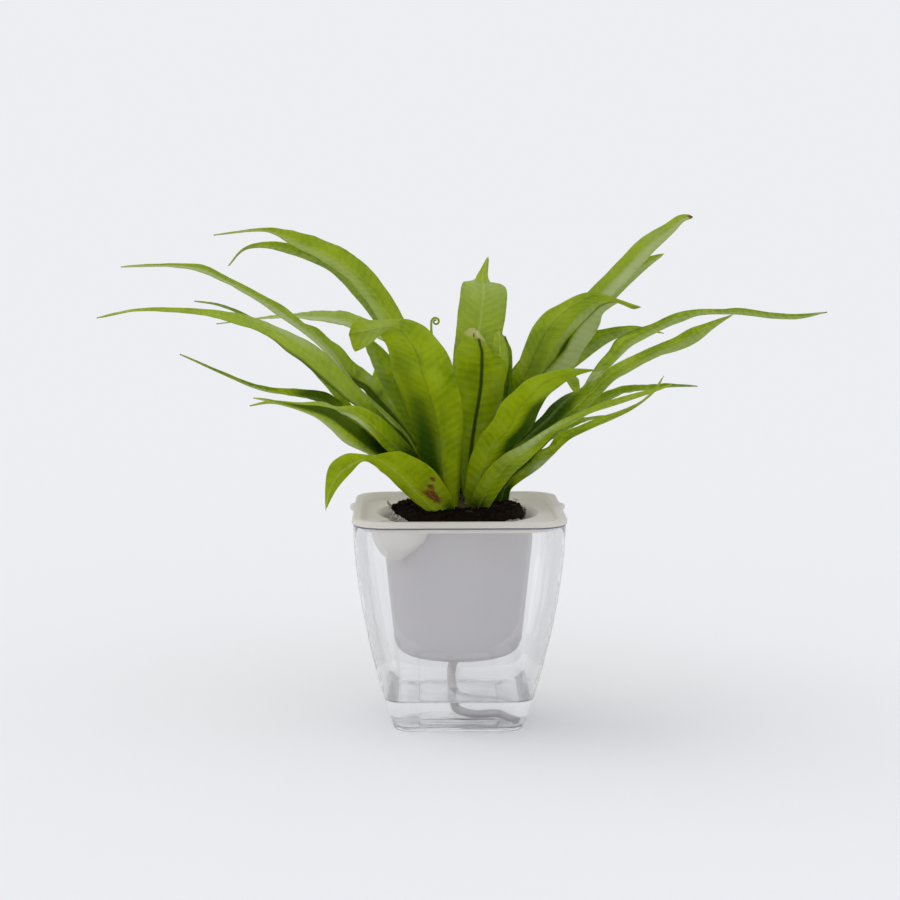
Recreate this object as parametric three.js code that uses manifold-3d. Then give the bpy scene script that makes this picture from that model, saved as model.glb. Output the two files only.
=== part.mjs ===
// A young bird's nest fern in a self-watering pot: a clear rounded-square outer vessel with water in it,
// a white inner pot whose square tray hangs in the vessel's mouth, a cotton wick, a peat root ball and
// the fern's rosette. Millimetres, +Z up. The origin is the middle of the vessel's foot, on the table.
import * as THREE from 'three';
import { mergeVertices } from 'three/addons/utils/BufferGeometryUtils.js';
import Module from 'manifold-3d';

const wasm = await Module();
wasm.setup();

// Driving dimensions of the outer vessel.
const VESSEL_HEIGHT = 131;
const VESSEL_TOP_HALF = 64.2;
const VESSEL_BASE_HALF = 41;
const VESSEL_BASE_RISE = 3;
const VESSEL_SWELL = 1.72;
const VESSEL_WALL = 2.2;
const VESSEL_FLOOR = 2.6;
const PAD_HALF = 25;
const PAD_RISE = 4;
const CORNER_SHARE = 0.31;

// Driving dimensions of the inner pot: tray, cup and fill chute.
const TRAY_HALF = 65;
const TRAY_LIP_TOP = 134.7;
const TRAY_LIP_WIDTH = 5.5;
const TRAY_FLOOR = 130.2;
const TRAY_UNDERSIDE = 128;
const SEAT_GAP = 0.3;
const CUP_WALL = 1.8;
const CUP_FOOT_Z = 42.5;
const CUP_FOOT_RADIUS = 39.5;
const CUP_TAPER = 0.107;
const CUP_MOUTH_RADIUS = 49.5;
const WICK_HOLE_RADIUS = 4.6;
const CHUTE_WALL = 1.5;
const CHUTE_SIDES = 32;
const TAB = { y: 10, halfLength: 11, reach: 2.8, thickness: 2.2 };

// Driving dimensions of what the pot holds.
const WATER_LEVEL = 20;
const WATER_GAP = 0.4;
const WICK_RADIUS = 3;
const WICK_GAP = 0.7;
const BALL_FOOT_RADIUS = 37.4;
const BALL_TOP_RADIUS = 42;
const BALL_FOOT_Z = 44.9;
const BALL_EDGE_Z = 131.5;
const WRAP_THICKNESS = 0.7;
const WRAP_FOOT_Z = 96;
const CROWN_RADIUS = 15;
const CROWN_FOOT_Z = 135.1;
const CROWN_TOP_Z = 142;

// Driving dimensions of the fern's blades.
const RIB_THICKNESS = 1.3;
const EDGE_THICKNESS = 0.6;
const STEPS_PER_STATION = 2;

// The wick's route: from the hole in the cup's foot, down into the water and along the vessel's floor.
const WICK_ROUTE = [
  [0, 0, 44.2], [-0.4, 0, 40.5], [-3.4, -0.5, 34], [-4, -1.5, 27], [-3.4, -4, 19], [-1, -9, 12.8],
  [5, -15, 10.2], [13, -18.5, 10], [21, -20, 10.2], [27, -22.5, 9.7], [31, -26, 7.4], [33.5, -30, 6.5],
];

// The fill chute's bowl, from its drip hole up to the tray: height, radius and its middle.
const CHUTE_RINGS = [
  [106.6, 2.6, -38, -30], [108.6, 6.2, -39, -32], [111, 8.8, -39, -34], [115, 12.4, -37.6, -37],
  [119, 15.2, -36.8, -39.4], [124, 17.6, -36, -40.8], [129.2, 18.4, -36, -41],
];

// The direction the wick's free end points in.
const WICK_END = [0.52, -0.83, -0.19];

// Each frond: where its back faces at the root (degrees from +X), how far its halves fold up, and its
// stations from root to tip as [x, y, z, half width, roll in degrees]. The front frond that flops over
// gives its two edges instead, as [x, y, z] of the one and of the other.
const FRONDS = {
  frond_left_1: { face: 160, fold: 14, stations: [
    [-6, 3, 142, 3, 0], [-21, 18, 199, 6, -30], [-37, 28, 240, 8, -42], [-56, 37, 270, 9, -42],
    [-71, 43, 284, 9, -42], [-87, 47, 293, 8.5, -40], [-104, 51, 300, 6.5, -38],
    [-123, 54, 306, 2.2, -30], [-156, 56, 303, 0.7, -20]] },
  frond_left_2: { face: 148, fold: 12, stations: [
    [-7, 7, 140.5, 3, 0], [-23, 31, 194, 5, -20], [-39, 46, 236, 6, -35], [-60, 57, 265, 6.5, -40],
    [-79, 62, 283, 5.5, -40], [-99, 65, 291, 4.5, -38], [-120, 68, 296, 3.2, -36],
    [-137, 69, 294, 1.2, -30], [-148, 69, 283, 0.7, -20]] },
  frond_left_3: { fold: 12, edges: [
    [-12.5, 0, 139.5, -11.5, 6, 139.5], [-33.5, 9, 175.5, -31, 13, 177],
    [-55, 14, 196.5, -52.5, 18, 198.5], [-67.5, 18, 208.5, -65.5, 22, 210.5],
    [-78.5, 21, 223, -75.5, 25, 225.5], [-89, 24, 234.5, -86, 28, 237],
    [-100.5, 27, 243.5, -96.5, 30, 247], [-114, 29, 252.5, -110, 33, 258],
    [-126, 31, 261, -121, 34, 264], [-138, 32, 268, -134.5, 36, 271],
    [-149, 33.5, 273.5, -147, 38, 277], [-163, 36, 279.5, -161, 40, 284],
    [-179, 37.5, 282.5, -178, 41, 285], [-195, 38.5, 283, -194.5, 41.5, 284.5],
    [-214, 41.5, 282.5, -214, 42.5, 283.5]] },
  frond_left_4: { fold: 12, edges: [
    [-11.5, 6.5, 139.5, -8.5, 11.5, 139.5], [-27.5, 20, 164, -19, 27, 169.5],
    [-37, 28, 177, -28.5, 33, 183], [-45.5, 33, 185, -35, 38, 193.5], [-53, 37, 193.5, -42, 42, 202],
    [-60, 41, 203, -51, 46, 210], [-67.5, 44, 207, -60.5, 50, 216.5],
    [-74, 48, 214.5, -67.5, 53, 222.5], [-79, 52, 224, -73.5, 56, 229], [-87, 56, 233, -82, 60, 235.5],
    [-95, 60, 239.5, -90, 63, 242], [-100, 62, 244.5, -98.5, 64, 245.5],
    [-105, 63.5, 248, -104.5, 64.5, 248]] },
  frond_left_5: { face: 140, fold: 10, stations: [
    [-5, 13, 139.5, 3, 0], [-16, 45, 192, 6, 0], [-36, 74, 228, 8, -10], [-66, 100, 243, 8, -28],
    [-85, 110, 247, 8, -28], [-109, 122, 247, 5, -20], [-133, 132, 245, 3.5, -10],
    [-164, 142, 241, 0.7, 0]] },
  frond_left_6: { face: 163, fold: 16, stations: [
    [-19, 5, 137, 3, 0], [-38, 12, 160, 5, -10], [-66, 22, 190, 5, -15], [-92, 32, 219, 3.5, -20],
    [-113, 38, 239, 2.2, -20], [-132, 42, 250, 2, -20], [-151, 44, 258, 1.6, -15],
    [-168, 46, 261, 0.7, -10]] },
  frond_left_7: { fold: 12, edges: [
    [-13, -7.5, 139, -13, -0.5, 139], [-32, -13, 164.5, -30.5, 1, 173],
    [-47.5, -16, 180.5, -42.5, 2, 185.5], [-61.5, -17, 195.5, -54, 2.5, 197],
    [-76, -16, 207, -66.5, 4, 210.5], [-89.5, -12, 218.5, -79, 5, 225],
    [-103.5, -8, 229, -92, 8, 235.5], [-120, -3, 241, -111, 11, 244.5],
    [-138, 2, 248, -132, 13, 252.5], [-157, 6, 253, -153.5, 13, 256.5],
    [-178, 9, 255.5, -175.5, 13, 258], [-200.5, 11, 256, -200, 14, 257.5],
    [-225, 13.5, 251.5, -225.5, 14.5, 252.5]] },
  frond_left_8: { face: 186, fold: 22, stations: [
    [-19, -3, 137, 3, 0], [-36, -14, 156, 6, -8], [-57, -22, 178, 7, -12], [-79, -20, 200.5, 8, -28],
    [-101, -16, 206, 6.5, -28], [-122, -14, 209.5, 3.8, -20], [-146, -12, 219.5, 2.2, -20],
    [-171, -10, 231, 0.7, -20]] },
  frond_left_9: { fold: 10, edges: [
    [-9.5, -14.5, 138.5, -12.5, -8.5, 138.5], [-24, -26, 152.5, -22, -16, 161],
    [-35.5, -36, 165, -30, -21, 173.5], [-44.5, -43, 174, -38.5, -26, 183.5],
    [-52.5, -48, 183.5, -47.5, -31, 192.5], [-61.5, -44, 191.5, -56.5, -31, 198.5],
    [-69.5, -43, 196.5, -66, -32, 200.5], [-78, -44, 198.5, -75, -34, 200.5],
    [-87.5, -43, 199, -84, -35, 203.5], [-96.5, -43, 200.5, -95, -37, 203.5],
    [-104.5, -45, 202.5, -103.5, -41, 204.5], [-114, -48, 204, -113.5, -45, 205.5],
    [-125, -52, 203, -125, -51, 203.5]] },
  frond_left_10: { fold: 26, edges: [
    [-14, -17, 137, -18, -11, 137], [-27.5, -29, 147.5, -31, -20, 152],
    [-38, -37, 155.5, -41, -26, 166], [-49, -44, 166, -49.5, -31, 176],
    [-58.5, -48, 172.5, -57.5, -38, 185], [-68, -51, 179, -66, -49, 195],
    [-77.5, -54, 188, -75.5, -49, 201], [-86, -56, 195, -84.5, -49, 202],
    [-95, -58, 199.5, -93.5, -51, 202.5], [-103.5, -60, 203, -103, -55, 204.5],
    [-112, -62, 206, -112, -58, 207], [-121.5, -65, 209, -121.5, -64.5, 209.5]] },
  frond_left_11: { fold: 14, edges: [
    [-5.5, -22, 137, -12.5, -18, 137], [-7.5, -30, 151.5, -35.5, -41, 150.5],
    [-12.5, -35, 159, -41.5, -46, 157], [-18.5, -40, 165.5, -45.5, -51, 161.5],
    [-27, -46, 171, -49.5, -56, 166], [-34.5, -52, 175, -53, -60, 169],
    [-43, -57, 175.5, -55, -64, 171], [-51.5, -63, 175, -58, -67, 171.5],
    [-59, -68, 176.5, -60.5, -69, 169.5], [-67, -71, 177, -64, -71, 165.5],
    [-75, -73, 172.5, -69, -73, 160.5], [-78.5, -75, 165.5, -73, -75, 155.5],
    [-79.5, -76, 155.5, -76.5, -76, 149.5], [-79.5, -77, 144, -79, -77, 144.5]] },
  frond_left_12: { face: 215, fold: 12, stations: [
    [-8, -2, 141, 3, 0], [-25, 2, 182, 7, 20], [-37, 4, 206, 9, 30], [-46, 4, 222, 8, 30],
    [-53, 4, 233, 5, 30], [-58, 4, 241, 0.7, 30]] },
  frond_front_1: { fold: 12, edges: [
    [1, -13, 139, -7, -13, 139], [1.5, -20, 148, -15.5, -24, 148], [2.5, -28, 166, -24.5, -31, 166.5],
    [3, -34, 183, -28, -35, 183], [2, -40, 199, -32, -38, 198.5], [-0.5, -45, 212.5, -38, -41, 213],
    [-3.5, -47, 223.5, -41.5, -44, 223], [-5, -47, 229, -41.5, -46, 226],
    [-9.5, -50, 236.5, -43, -50, 235], [-15, -52, 244, -45, -54, 240.5],
    [-21.5, -54, 250.5, -47.5, -58, 245], [-29, -54, 254.5, -48.5, -61, 245],
    [-37.5, -54, 255.5, -49.5, -64, 244.5], [-47, -54, 255.5, -51.5, -67, 243],
    [-57, -55, 255.5, -58, -70, 239.5], [-66, -56, 255.5, -64.5, -71, 237]] },
  frond_front_2: { fold: 8, edges: [
    [8.5, -8, 141, 1.5, -8, 141], [15, -7, 164.5, 1, -9, 165], [20.5, -4, 185.5, 1, -6, 186],
    [28, -1, 207, 0.5, -2, 207.5], [31, 2, 219, -2, 2, 219], [30, 5, 225.5, -2.5, 6, 228],
    [26.5, 8, 229.5, -0.5, 9, 234.5], [21, 12, 233, 3, 13, 239], [18.5, 17, 236.5, 4, 18, 242],
    [15.5, 22, 241, 7, 23, 244.5], [13, 26, 244, 10, 26, 245]] },
  frond_front_3: { fold: 16, edges: [
    [10.5, -15, 137, 3.5, -19, 137], [21, -20, 149.5, 3.5, -18, 149.5], [27, -27, 164, 5.5, -23, 165],
    [33, -36, 176.5, 11.5, -30, 181], [43, -43, 187, 18.5, -37, 191], [48, -48, 199.5, 23.5, -42, 202],
    [53, -52, 208.5, 30.5, -47, 209.5], [60.5, -55, 215.5, 38, -50, 217],
    [69, -58, 221, 48.5, -54, 222], [77, -60, 224, 62, -57, 225.5],
    [81, -61, 224.5, 80, -61, 225.5]] },
  frond_front_4: { fold: 12, edges: [
    [17.5, -12.5, 137, 10.5, -17.5, 137], [24.5, -28, 147, 9.5, -25, 148.5],
    [32, -32, 158, 17, -29, 161.5], [41, -36, 167, 27, -33, 171.5], [49.5, -39, 176, 36.5, -37, 177],
    [58, -42, 186, 49, -40, 185.5], [67.5, -44, 191, 60.5, -43, 193], [78, -46, 197.5, 74, -45, 199.5],
    [91, -48, 202, 88.5, -48, 205.5], [105, -50, 207, 103.5, -49, 210],
    [117.5, -51, 211.5, 115.5, -51, 213], [127, -52, 215.5, 126.5, -52, 216]] },
  frond_right_1: { fold: 12, edges: [
    [10.5, -1.5, 141.5, 8.5, 5.5, 141.5], [26.5, 5, 176, 18.5, 11, 175], [40.5, 9, 197.5, 29, 17, 201],
    [52.5, 13, 216.5, 38, 20, 223.5], [60.5, 17, 232.5, 46, 22, 243], [71, 20, 247, 54.5, 24, 254.5],
    [81.5, 23, 257, 65, 26, 260.5], [92, 25, 262.5, 79.5, 28, 267], [99.5, 26, 261.5, 91.5, 28, 266.5],
    [106, 27, 259, 104, 28, 262.5], [112, 28, 256.5, 111, 28, 260], [117, 28, 257.5, 117, 28, 258]] },
  frond_right_2: { fold: 12, edges: [
    [11.5, 3.5, 139.5, 8.5, 8.5, 139.5], [30.5, 22, 172.5, 23, 26, 173.5],
    [47, 34, 195, 37.5, 38, 199], [61.5, 40, 208.5, 48.5, 45, 218], [75.5, 44, 218.5, 57, 50, 233.5],
    [82.5, 48, 229, 65, 53, 245], [89.5, 52, 238, 74, 57, 253.5], [93.5, 54, 245.5, 83, 59, 258.5],
    [95.5, 56, 252, 91.5, 60, 261.5], [101, 58, 256.5, 98.5, 61, 262],
    [106.5, 60, 259.5, 106, 61, 260.5]] },
  frond_right_3: { face: 50, fold: 18, stations: [
    [5.5, 11, 139.5, 3, 0], [22, 42, 187, 5, 30], [50, 56, 221, 5, 40], [77, 66, 248, 6, 45],
    [97, 72, 266, 7, 45], [113, 77, 282, 7, 50], [127, 81, 296, 6.5, 45], [141, 85, 306, 4.5, 40],
    [150, 88, 313, 3, 30], [158, 89, 314.5, 1.8, 10]] },
  frond_right_4: { face: 57, fold: 16, stations: [
    [2, 15, 139, 3, 0], [20, 50, 180, 5, 20], [48, 72, 217, 7, 30], [79, 84, 245, 8, 35],
    [101, 92, 263, 7, 35], [114, 96, 274, 6, 35], [127, 100, 283, 4, 35], [141, 103, 290, 0.7, 30]] },
  frond_right_5: { fold: 16, edges: [
    [14, 8, 139, 10, 12, 139], [34, 30, 174.5, 25.5, 36, 171.5], [59.5, 50, 204.5, 47, 56, 203],
    [78.5, 64, 217, 69, 70, 226.5], [94, 71, 228, 86, 77, 238.5], [108, 77, 235.5, 104.5, 82, 242.5],
    [124, 83, 239.5, 122, 87, 243], [140, 90, 237, 140, 90, 237.5]] },
  frond_right_6: { fold: 14, edges: [
    [14, -5, 139, 14, 1, 139], [33.5, -3, 162.5, 26.5, 3, 166.5], [51, -2, 178, 41.5, 6, 182],
    [61, -1, 186.5, 51, 8, 190], [71, 0, 196.5, 58.5, 9, 198.5], [79.5, 1, 204, 68, 10, 205],
    [84.5, 2, 211, 77.5, 11, 209], [90, 3, 218.5, 82, 11, 216], [94.5, 4, 222.5, 87.5, 12, 223.5],
    [101.5, 5, 229, 94.5, 12, 231.5], [108.5, 6, 235, 99, 13, 239], [117, 7, 239.5, 109, 13, 244],
    [127, 8, 245, 123, 14, 249], [139, 9, 249.5, 136.5, 14, 255], [152, 10, 254, 151, 14.5, 257.5],
    [166, 11, 254.5, 166.5, 15, 257.5], [178.5, 11.5, 254, 178.5, 15.5, 258],
    [209, 11, 251.5, 209, 17, 254.5], [233, 15.5, 254.5, 233, 16.5, 255.5]] },
  frond_right_7: { fold: 12, edges: [
    [19.5, 0, 137, 18.5, 6, 137], [43, 8, 161, 38.5, 13, 164], [62.5, 14, 181, 56, 21, 184.5],
    [78, 18, 191.5, 69.5, 26, 193.5], [89, 21, 202, 80.5, 29, 203.5], [98.5, 24, 211, 90.5, 32, 213],
    [109, 26, 217, 98, 34, 220], [120, 28, 223, 110, 35, 226], [130.5, 30, 227.5, 124, 37, 232],
    [143.5, 32, 231, 139.5, 38, 238.5], [154.5, 34, 236, 150, 39, 244],
    [164.5, 37, 243.5, 161, 40, 247.5], [172.5, 39, 249, 171, 41, 250.5],
    [178, 41, 252, 178, 41, 252.5]] },
  frond_right_8: { face: 28, fold: 20, stations: [
    [18, 9, 137, 3, 0], [37, 26, 155, 9, 10], [64, 42, 177, 7, 15], [91, 54, 193, 6, 15],
    [111, 62, 200.5, 5, 15], [128, 68, 202, 4.2, 15], [143, 72, 203, 3, 10],
    [161, 76, 203, 0.7, 10]] },
  frond_right_9: { fold: 16, edges: [
    [20.5, -5.5, 137, 17.5, -10.5, 137], [32.5, -15, 147, 23.5, -12, 147],
    [37.5, -17, 152, 29, -14, 154.5], [44.5, -19, 157, 36, -17, 161], [51, -21, 162.5, 41, -18, 166],
    [58, -22, 169.5, 46, -19, 171.5], [63.5, -23, 175.5, 54.5, -20, 174.5],
    [70.5, -24, 181, 60.5, -21, 182.5], [81.5, -25, 186.5, 72.5, -22, 187.5],
    [93, -26, 191.5, 85, -24, 193], [103, -27, 196.5, 98.5, -25, 197.5],
    [112, -27, 202.5, 110.5, -26, 203], [120, -27, 209.5, 118, -27, 210],
    [125, -27, 218.5, 124.5, -27, 219]] },
  frond_back_1: { face: 92, fold: 14, stations: [
    [0, 20, 137, 3, 0], [-3, 42, 170, 7, 0], [-3, 68, 198, 11, 0], [-2, 98, 212, 13, 0],
    [-3, 132, 210, 11, 0], [-6, 163, 194, 7, 0], [-8, 188, 170, 0.7, 0]] },
  frond_back_2: { face: 66, fold: 14, stations: [
    [8, 18.5, 137, 3, 0], [16, 43, 160, 6, 0], [34, 70, 184, 9, 0], [53, 104, 202, 11, 0],
    [70, 138, 208, 9, 0], [84, 170, 199, 6, 0], [93, 194, 183, 0.7, 0]] },
  frond_back_3: { face: 114, fold: 14, stations: [
    [-8, 18, 137, 3, 0], [-15, 42, 166, 7, 0], [-23, 72, 194, 11, 0], [-32, 106, 210, 11, 0],
    [-42, 140, 212, 9, 0], [-51, 170, 201, 6, 0], [-57, 194, 184, 0.7, 0]] },
  frond_back_4: { face: 46, fold: 16, stations: [
    [14, 15, 137, 3, 0], [33, 38, 153, 6, 0], [56, 61, 167, 9, 0], [82, 86, 177, 7, 0],
    [105, 110, 180, 0.7, 0]] },
  frond_back_5: { face: 134, fold: 16, stations: [
    [-15, 13, 137, 3, 0], [-32, 34, 152, 7, 0], [-54, 58, 168, 9, 0], [-76, 82, 178, 7, 0],
    [-92, 100, 181, 0.7, 0]] },
  frond_back_6: { face: 92, fold: 4, stations: [
    [-1.5, 11.5, 139.5, 3.5, 0], [5, 25, 182, 9, 0], [11, 38, 215, 14, 0], [15, 48, 243, 15, 0],
    [17.5, 56, 259, 15.5, 0], [18.5, 66, 268.5, 14.5, 0], [18.5, 76, 271.5, 10, 0],
    [18, 84, 272, 5.5, 0], [18.5, 90, 275.5, 3.7, 0], [20.5, 95, 281.5, 2.1, 0],
    [22.5, 98, 288, 0.7, 0]] },
  young_frond_1: { fold: 18, edges: [
    [4, -2.5, 143.5, 0, -3.5, 143.5], [18.5, 6, 175.5, 12.5, 6, 175.5],
    [26.5, 12.5, 200, 19, 11.5, 200], [32, 14, 218.5, 22, 13, 217.5], [33, 17.5, 231, 20.5, 17, 230],
    [31, 19, 238, 22.5, 18.5, 237.5], [28.5, 22, 242, 24, 21, 242],
    [26.5, 22, 244.5, 25.5, 22, 244.5]] },
  young_frond_2: { fold: 22, edges: [
    [7.5, -0.5, 143, 4.5, -3.5, 143], [24, 2, 175.5, 18.5, 2, 175.5], [33, 8, 200, 27.5, 8, 200],
    [35, 19, 215.5, 29.5, 18.5, 214], [35, 23.5, 230, 29.5, 23, 230], [32.5, 25, 236, 29.5, 24.5, 236],
    [30.5, 24, 240, 30, 24, 240]] },
};

// The crozier: a young frond still rolled up, on a thin stalk.
const CROZIER_STALK = [[-3, -1, 143.4], [-8, 6, 180], [-13, 12, 212], [-16, 16, 236], [-16.4, 16, 246]];
const CROZIER_COIL = { x: -13.6, y: 16, z: 249.4, radius: 2.7, turns: 1.25, stalkRadius: 0.8 };

// A closed mesh with merged vertices and no flat triangles.
function closed(geometry) {
  geometry.deleteAttribute('normal');
  geometry.deleteAttribute('uv');
  const merged = mergeVertices(geometry, 1e-4);
  const source = merged.index.array;
  const index = [];
  for (let i = 0; i < source.length; i += 3) {
    const [a, b, c] = [source[i], source[i + 1], source[i + 2]];
    if (a !== b && b !== c && c !== a) index.push(a, b, c);
  }
  merged.setIndex(index);
  return merged;
}

function toSolid(geometry) {
  const merged = closed(geometry);
  return new wasm.Manifold(new wasm.Mesh({
    numProp: 3,
    vertProperties: new Float32Array(merged.attributes.position.array),
    triVerts: new Uint32Array(merged.index.array),
  }));
}

function toGeometry(solid) {
  const { vertProperties, triVerts } = solid.getMesh();
  const geometry = new THREE.BufferGeometry();
  geometry.setAttribute('position', new THREE.BufferAttribute(new Float32Array(vertProperties), 3));
  geometry.setIndex(Array.from(triVerts));
  return geometry;
}

// A point of a rounded square's outline: the share s of the way round, and its half width.
function squarePoint(s, half, corner) {
  const straight = 2 * (half - corner);
  const arc = Math.PI / 2 * corner;
  const quarter = straight + arc;
  const along = (s * 4) % 1 * quarter;
  const turn = Math.floor(s * 4) * Math.PI / 2;
  let x = half;
  let y = along - straight / 2;
  if (along > straight) {
    const angle = (along - straight) / corner;
    x = half - corner + corner * Math.cos(angle);
    y = half - corner + corner * Math.sin(angle);
  }
  return [x * Math.cos(turn) - y * Math.sin(turn), x * Math.sin(turn) + y * Math.cos(turn)];
}

// A profile of [half width, z, squareness] turned into a solid, round where squareness is 0 and a
// rounded square where it is 1.
function turned(profile, segments) {
  const points = profile.map(([half, z]) => new THREE.Vector2(half, z));
  const geometry = new THREE.LatheGeometry(points, segments);
  const position = geometry.attributes.position;
  for (let i = 0; i <= segments; i += 1) {
    const s = (i % segments) / segments;
    for (let j = 0; j < profile.length; j += 1) {
      const [half, z, squareness] = profile[j];
      const [sx, sy] = half > 0 ? squarePoint(s, half, half * CORNER_SHARE) : [0, 0];
      const angle = Math.atan2(...squarePoint(s, 1, CORNER_SHARE).reverse());
      const x = THREE.MathUtils.lerp(half * Math.cos(angle), sx, squareness);
      const y = THREE.MathUtils.lerp(half * Math.sin(angle), sy, squareness);
      position.setXYZ(i * profile.length + j, x, y, z);
    }
  }
  return geometry;
}

// The vessel's outer half width at a height: nearly straight at the top, drawn in towards the base.
function vesselHalf(z) {
  const up = THREE.MathUtils.clamp((z - VESSEL_BASE_RISE) / (VESSEL_HEIGHT - VESSEL_BASE_RISE), 0, 1);
  return VESSEL_BASE_HALF + (VESSEL_TOP_HALF - VESSEL_BASE_HALF) * (1 - (1 - up) ** VESSEL_SWELL);
}

function vesselWall(from, to, inset, steps) {
  const points = [];
  for (let i = 0; i <= steps; i += 1) {
    const z = THREE.MathUtils.lerp(from, to, i / steps);
    points.push([vesselHalf(z) - inset, z, 1]);
  }
  return points;
}

function outerVessel() {
  const padTop = VESSEL_FLOOR + PAD_RISE;
  const profile = [
    [0, 0, 1], [VESSEL_BASE_HALF - 4, 0, 1], [VESSEL_BASE_HALF - 1.2, 0.9, 1],
    ...vesselWall(VESSEL_BASE_RISE, VESSEL_HEIGHT, 0, 6),
    ...vesselWall(VESSEL_HEIGHT, VESSEL_FLOOR + 3, VESSEL_WALL, 6),
    [VESSEL_BASE_HALF - VESSEL_WALL - 1.5, VESSEL_FLOOR + 0.8, 1],
    [VESSEL_BASE_HALF - VESSEL_WALL - 5, VESSEL_FLOOR, 1],
    [PAD_HALF, VESSEL_FLOOR, 1], [PAD_HALF, padTop - 1, 1], [PAD_HALF - 1, padTop, 1], [0, padTop, 1],
  ];
  return toGeometry(toSolid(turned(profile, 40)));
}

// The water stands a hair inside the vessel's inner wall, over its floor and round the wick.
function water() {
  const skin = VESSEL_WALL + WATER_GAP;
  const floor = VESSEL_FLOOR + WATER_GAP;
  const profile = [
    [0, PAD_RISE + floor, 1], [PAD_HALF + WATER_GAP, PAD_RISE + floor, 1],
    [PAD_HALF + WATER_GAP, floor, 1], [VESSEL_BASE_HALF - skin - 5, floor, 1],
    [VESSEL_BASE_HALF - skin - 1.5, floor + 0.9, 1],
    ...vesselWall(floor + 3, WATER_LEVEL, skin, 4),
    [0, WATER_LEVEL, 1],
  ];
  const end = WICK_ROUTE[WICK_ROUTE.length - 1];
  const roomRoute = [...WICK_ROUTE, end.map((value, axis) => value + WICK_END[axis] * WICK_GAP)];
  const room = toSolid(tube(roomRoute, WICK_RADIUS + WICK_GAP, 15, 5));
  return toGeometry(toSolid(turned(profile, 40)).subtract(room));
}

function cupRadius(z) {
  return CUP_FOOT_RADIUS + CUP_TAPER * (z - CUP_FOOT_Z - 2);
}

// The fill chute's bowl, made narrower all round, and longer at its bottom and at its top.
function chuteBowl(inset, drop, rise) {
  const points = [];
  CHUTE_RINGS.forEach(([z, radius, x, y], ring) => {
    const level = z - (ring === 0 ? drop : 0) + (ring === CHUTE_RINGS.length - 1 ? rise : 0);
    for (let i = 0; i < CHUTE_SIDES; i += 1) {
      const angle = i / CHUTE_SIDES * 2 * Math.PI;
      points.push([x + (radius - inset) * Math.cos(angle), y + (radius - inset) * Math.sin(angle), level]);
    }
  });
  return wasm.Manifold.hull(points);
}

// The cup's outer form as a plain cone, smaller by the inset, over the height of the chute.
function cupBody(inset) {
  const low = CHUTE_RINGS[0][0] - 10;
  const high = TRAY_LIP_TOP + 10;
  const [wide, narrow] = [cupRadius(high) - inset, cupRadius(low) - inset];
  const geometry = new THREE.CylinderGeometry(wide, narrow, high - low, 96);
  geometry.rotateX(Math.PI / 2);
  geometry.translate(0, 0, (high + low) / 2);
  return toSolid(geometry);
}

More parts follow.
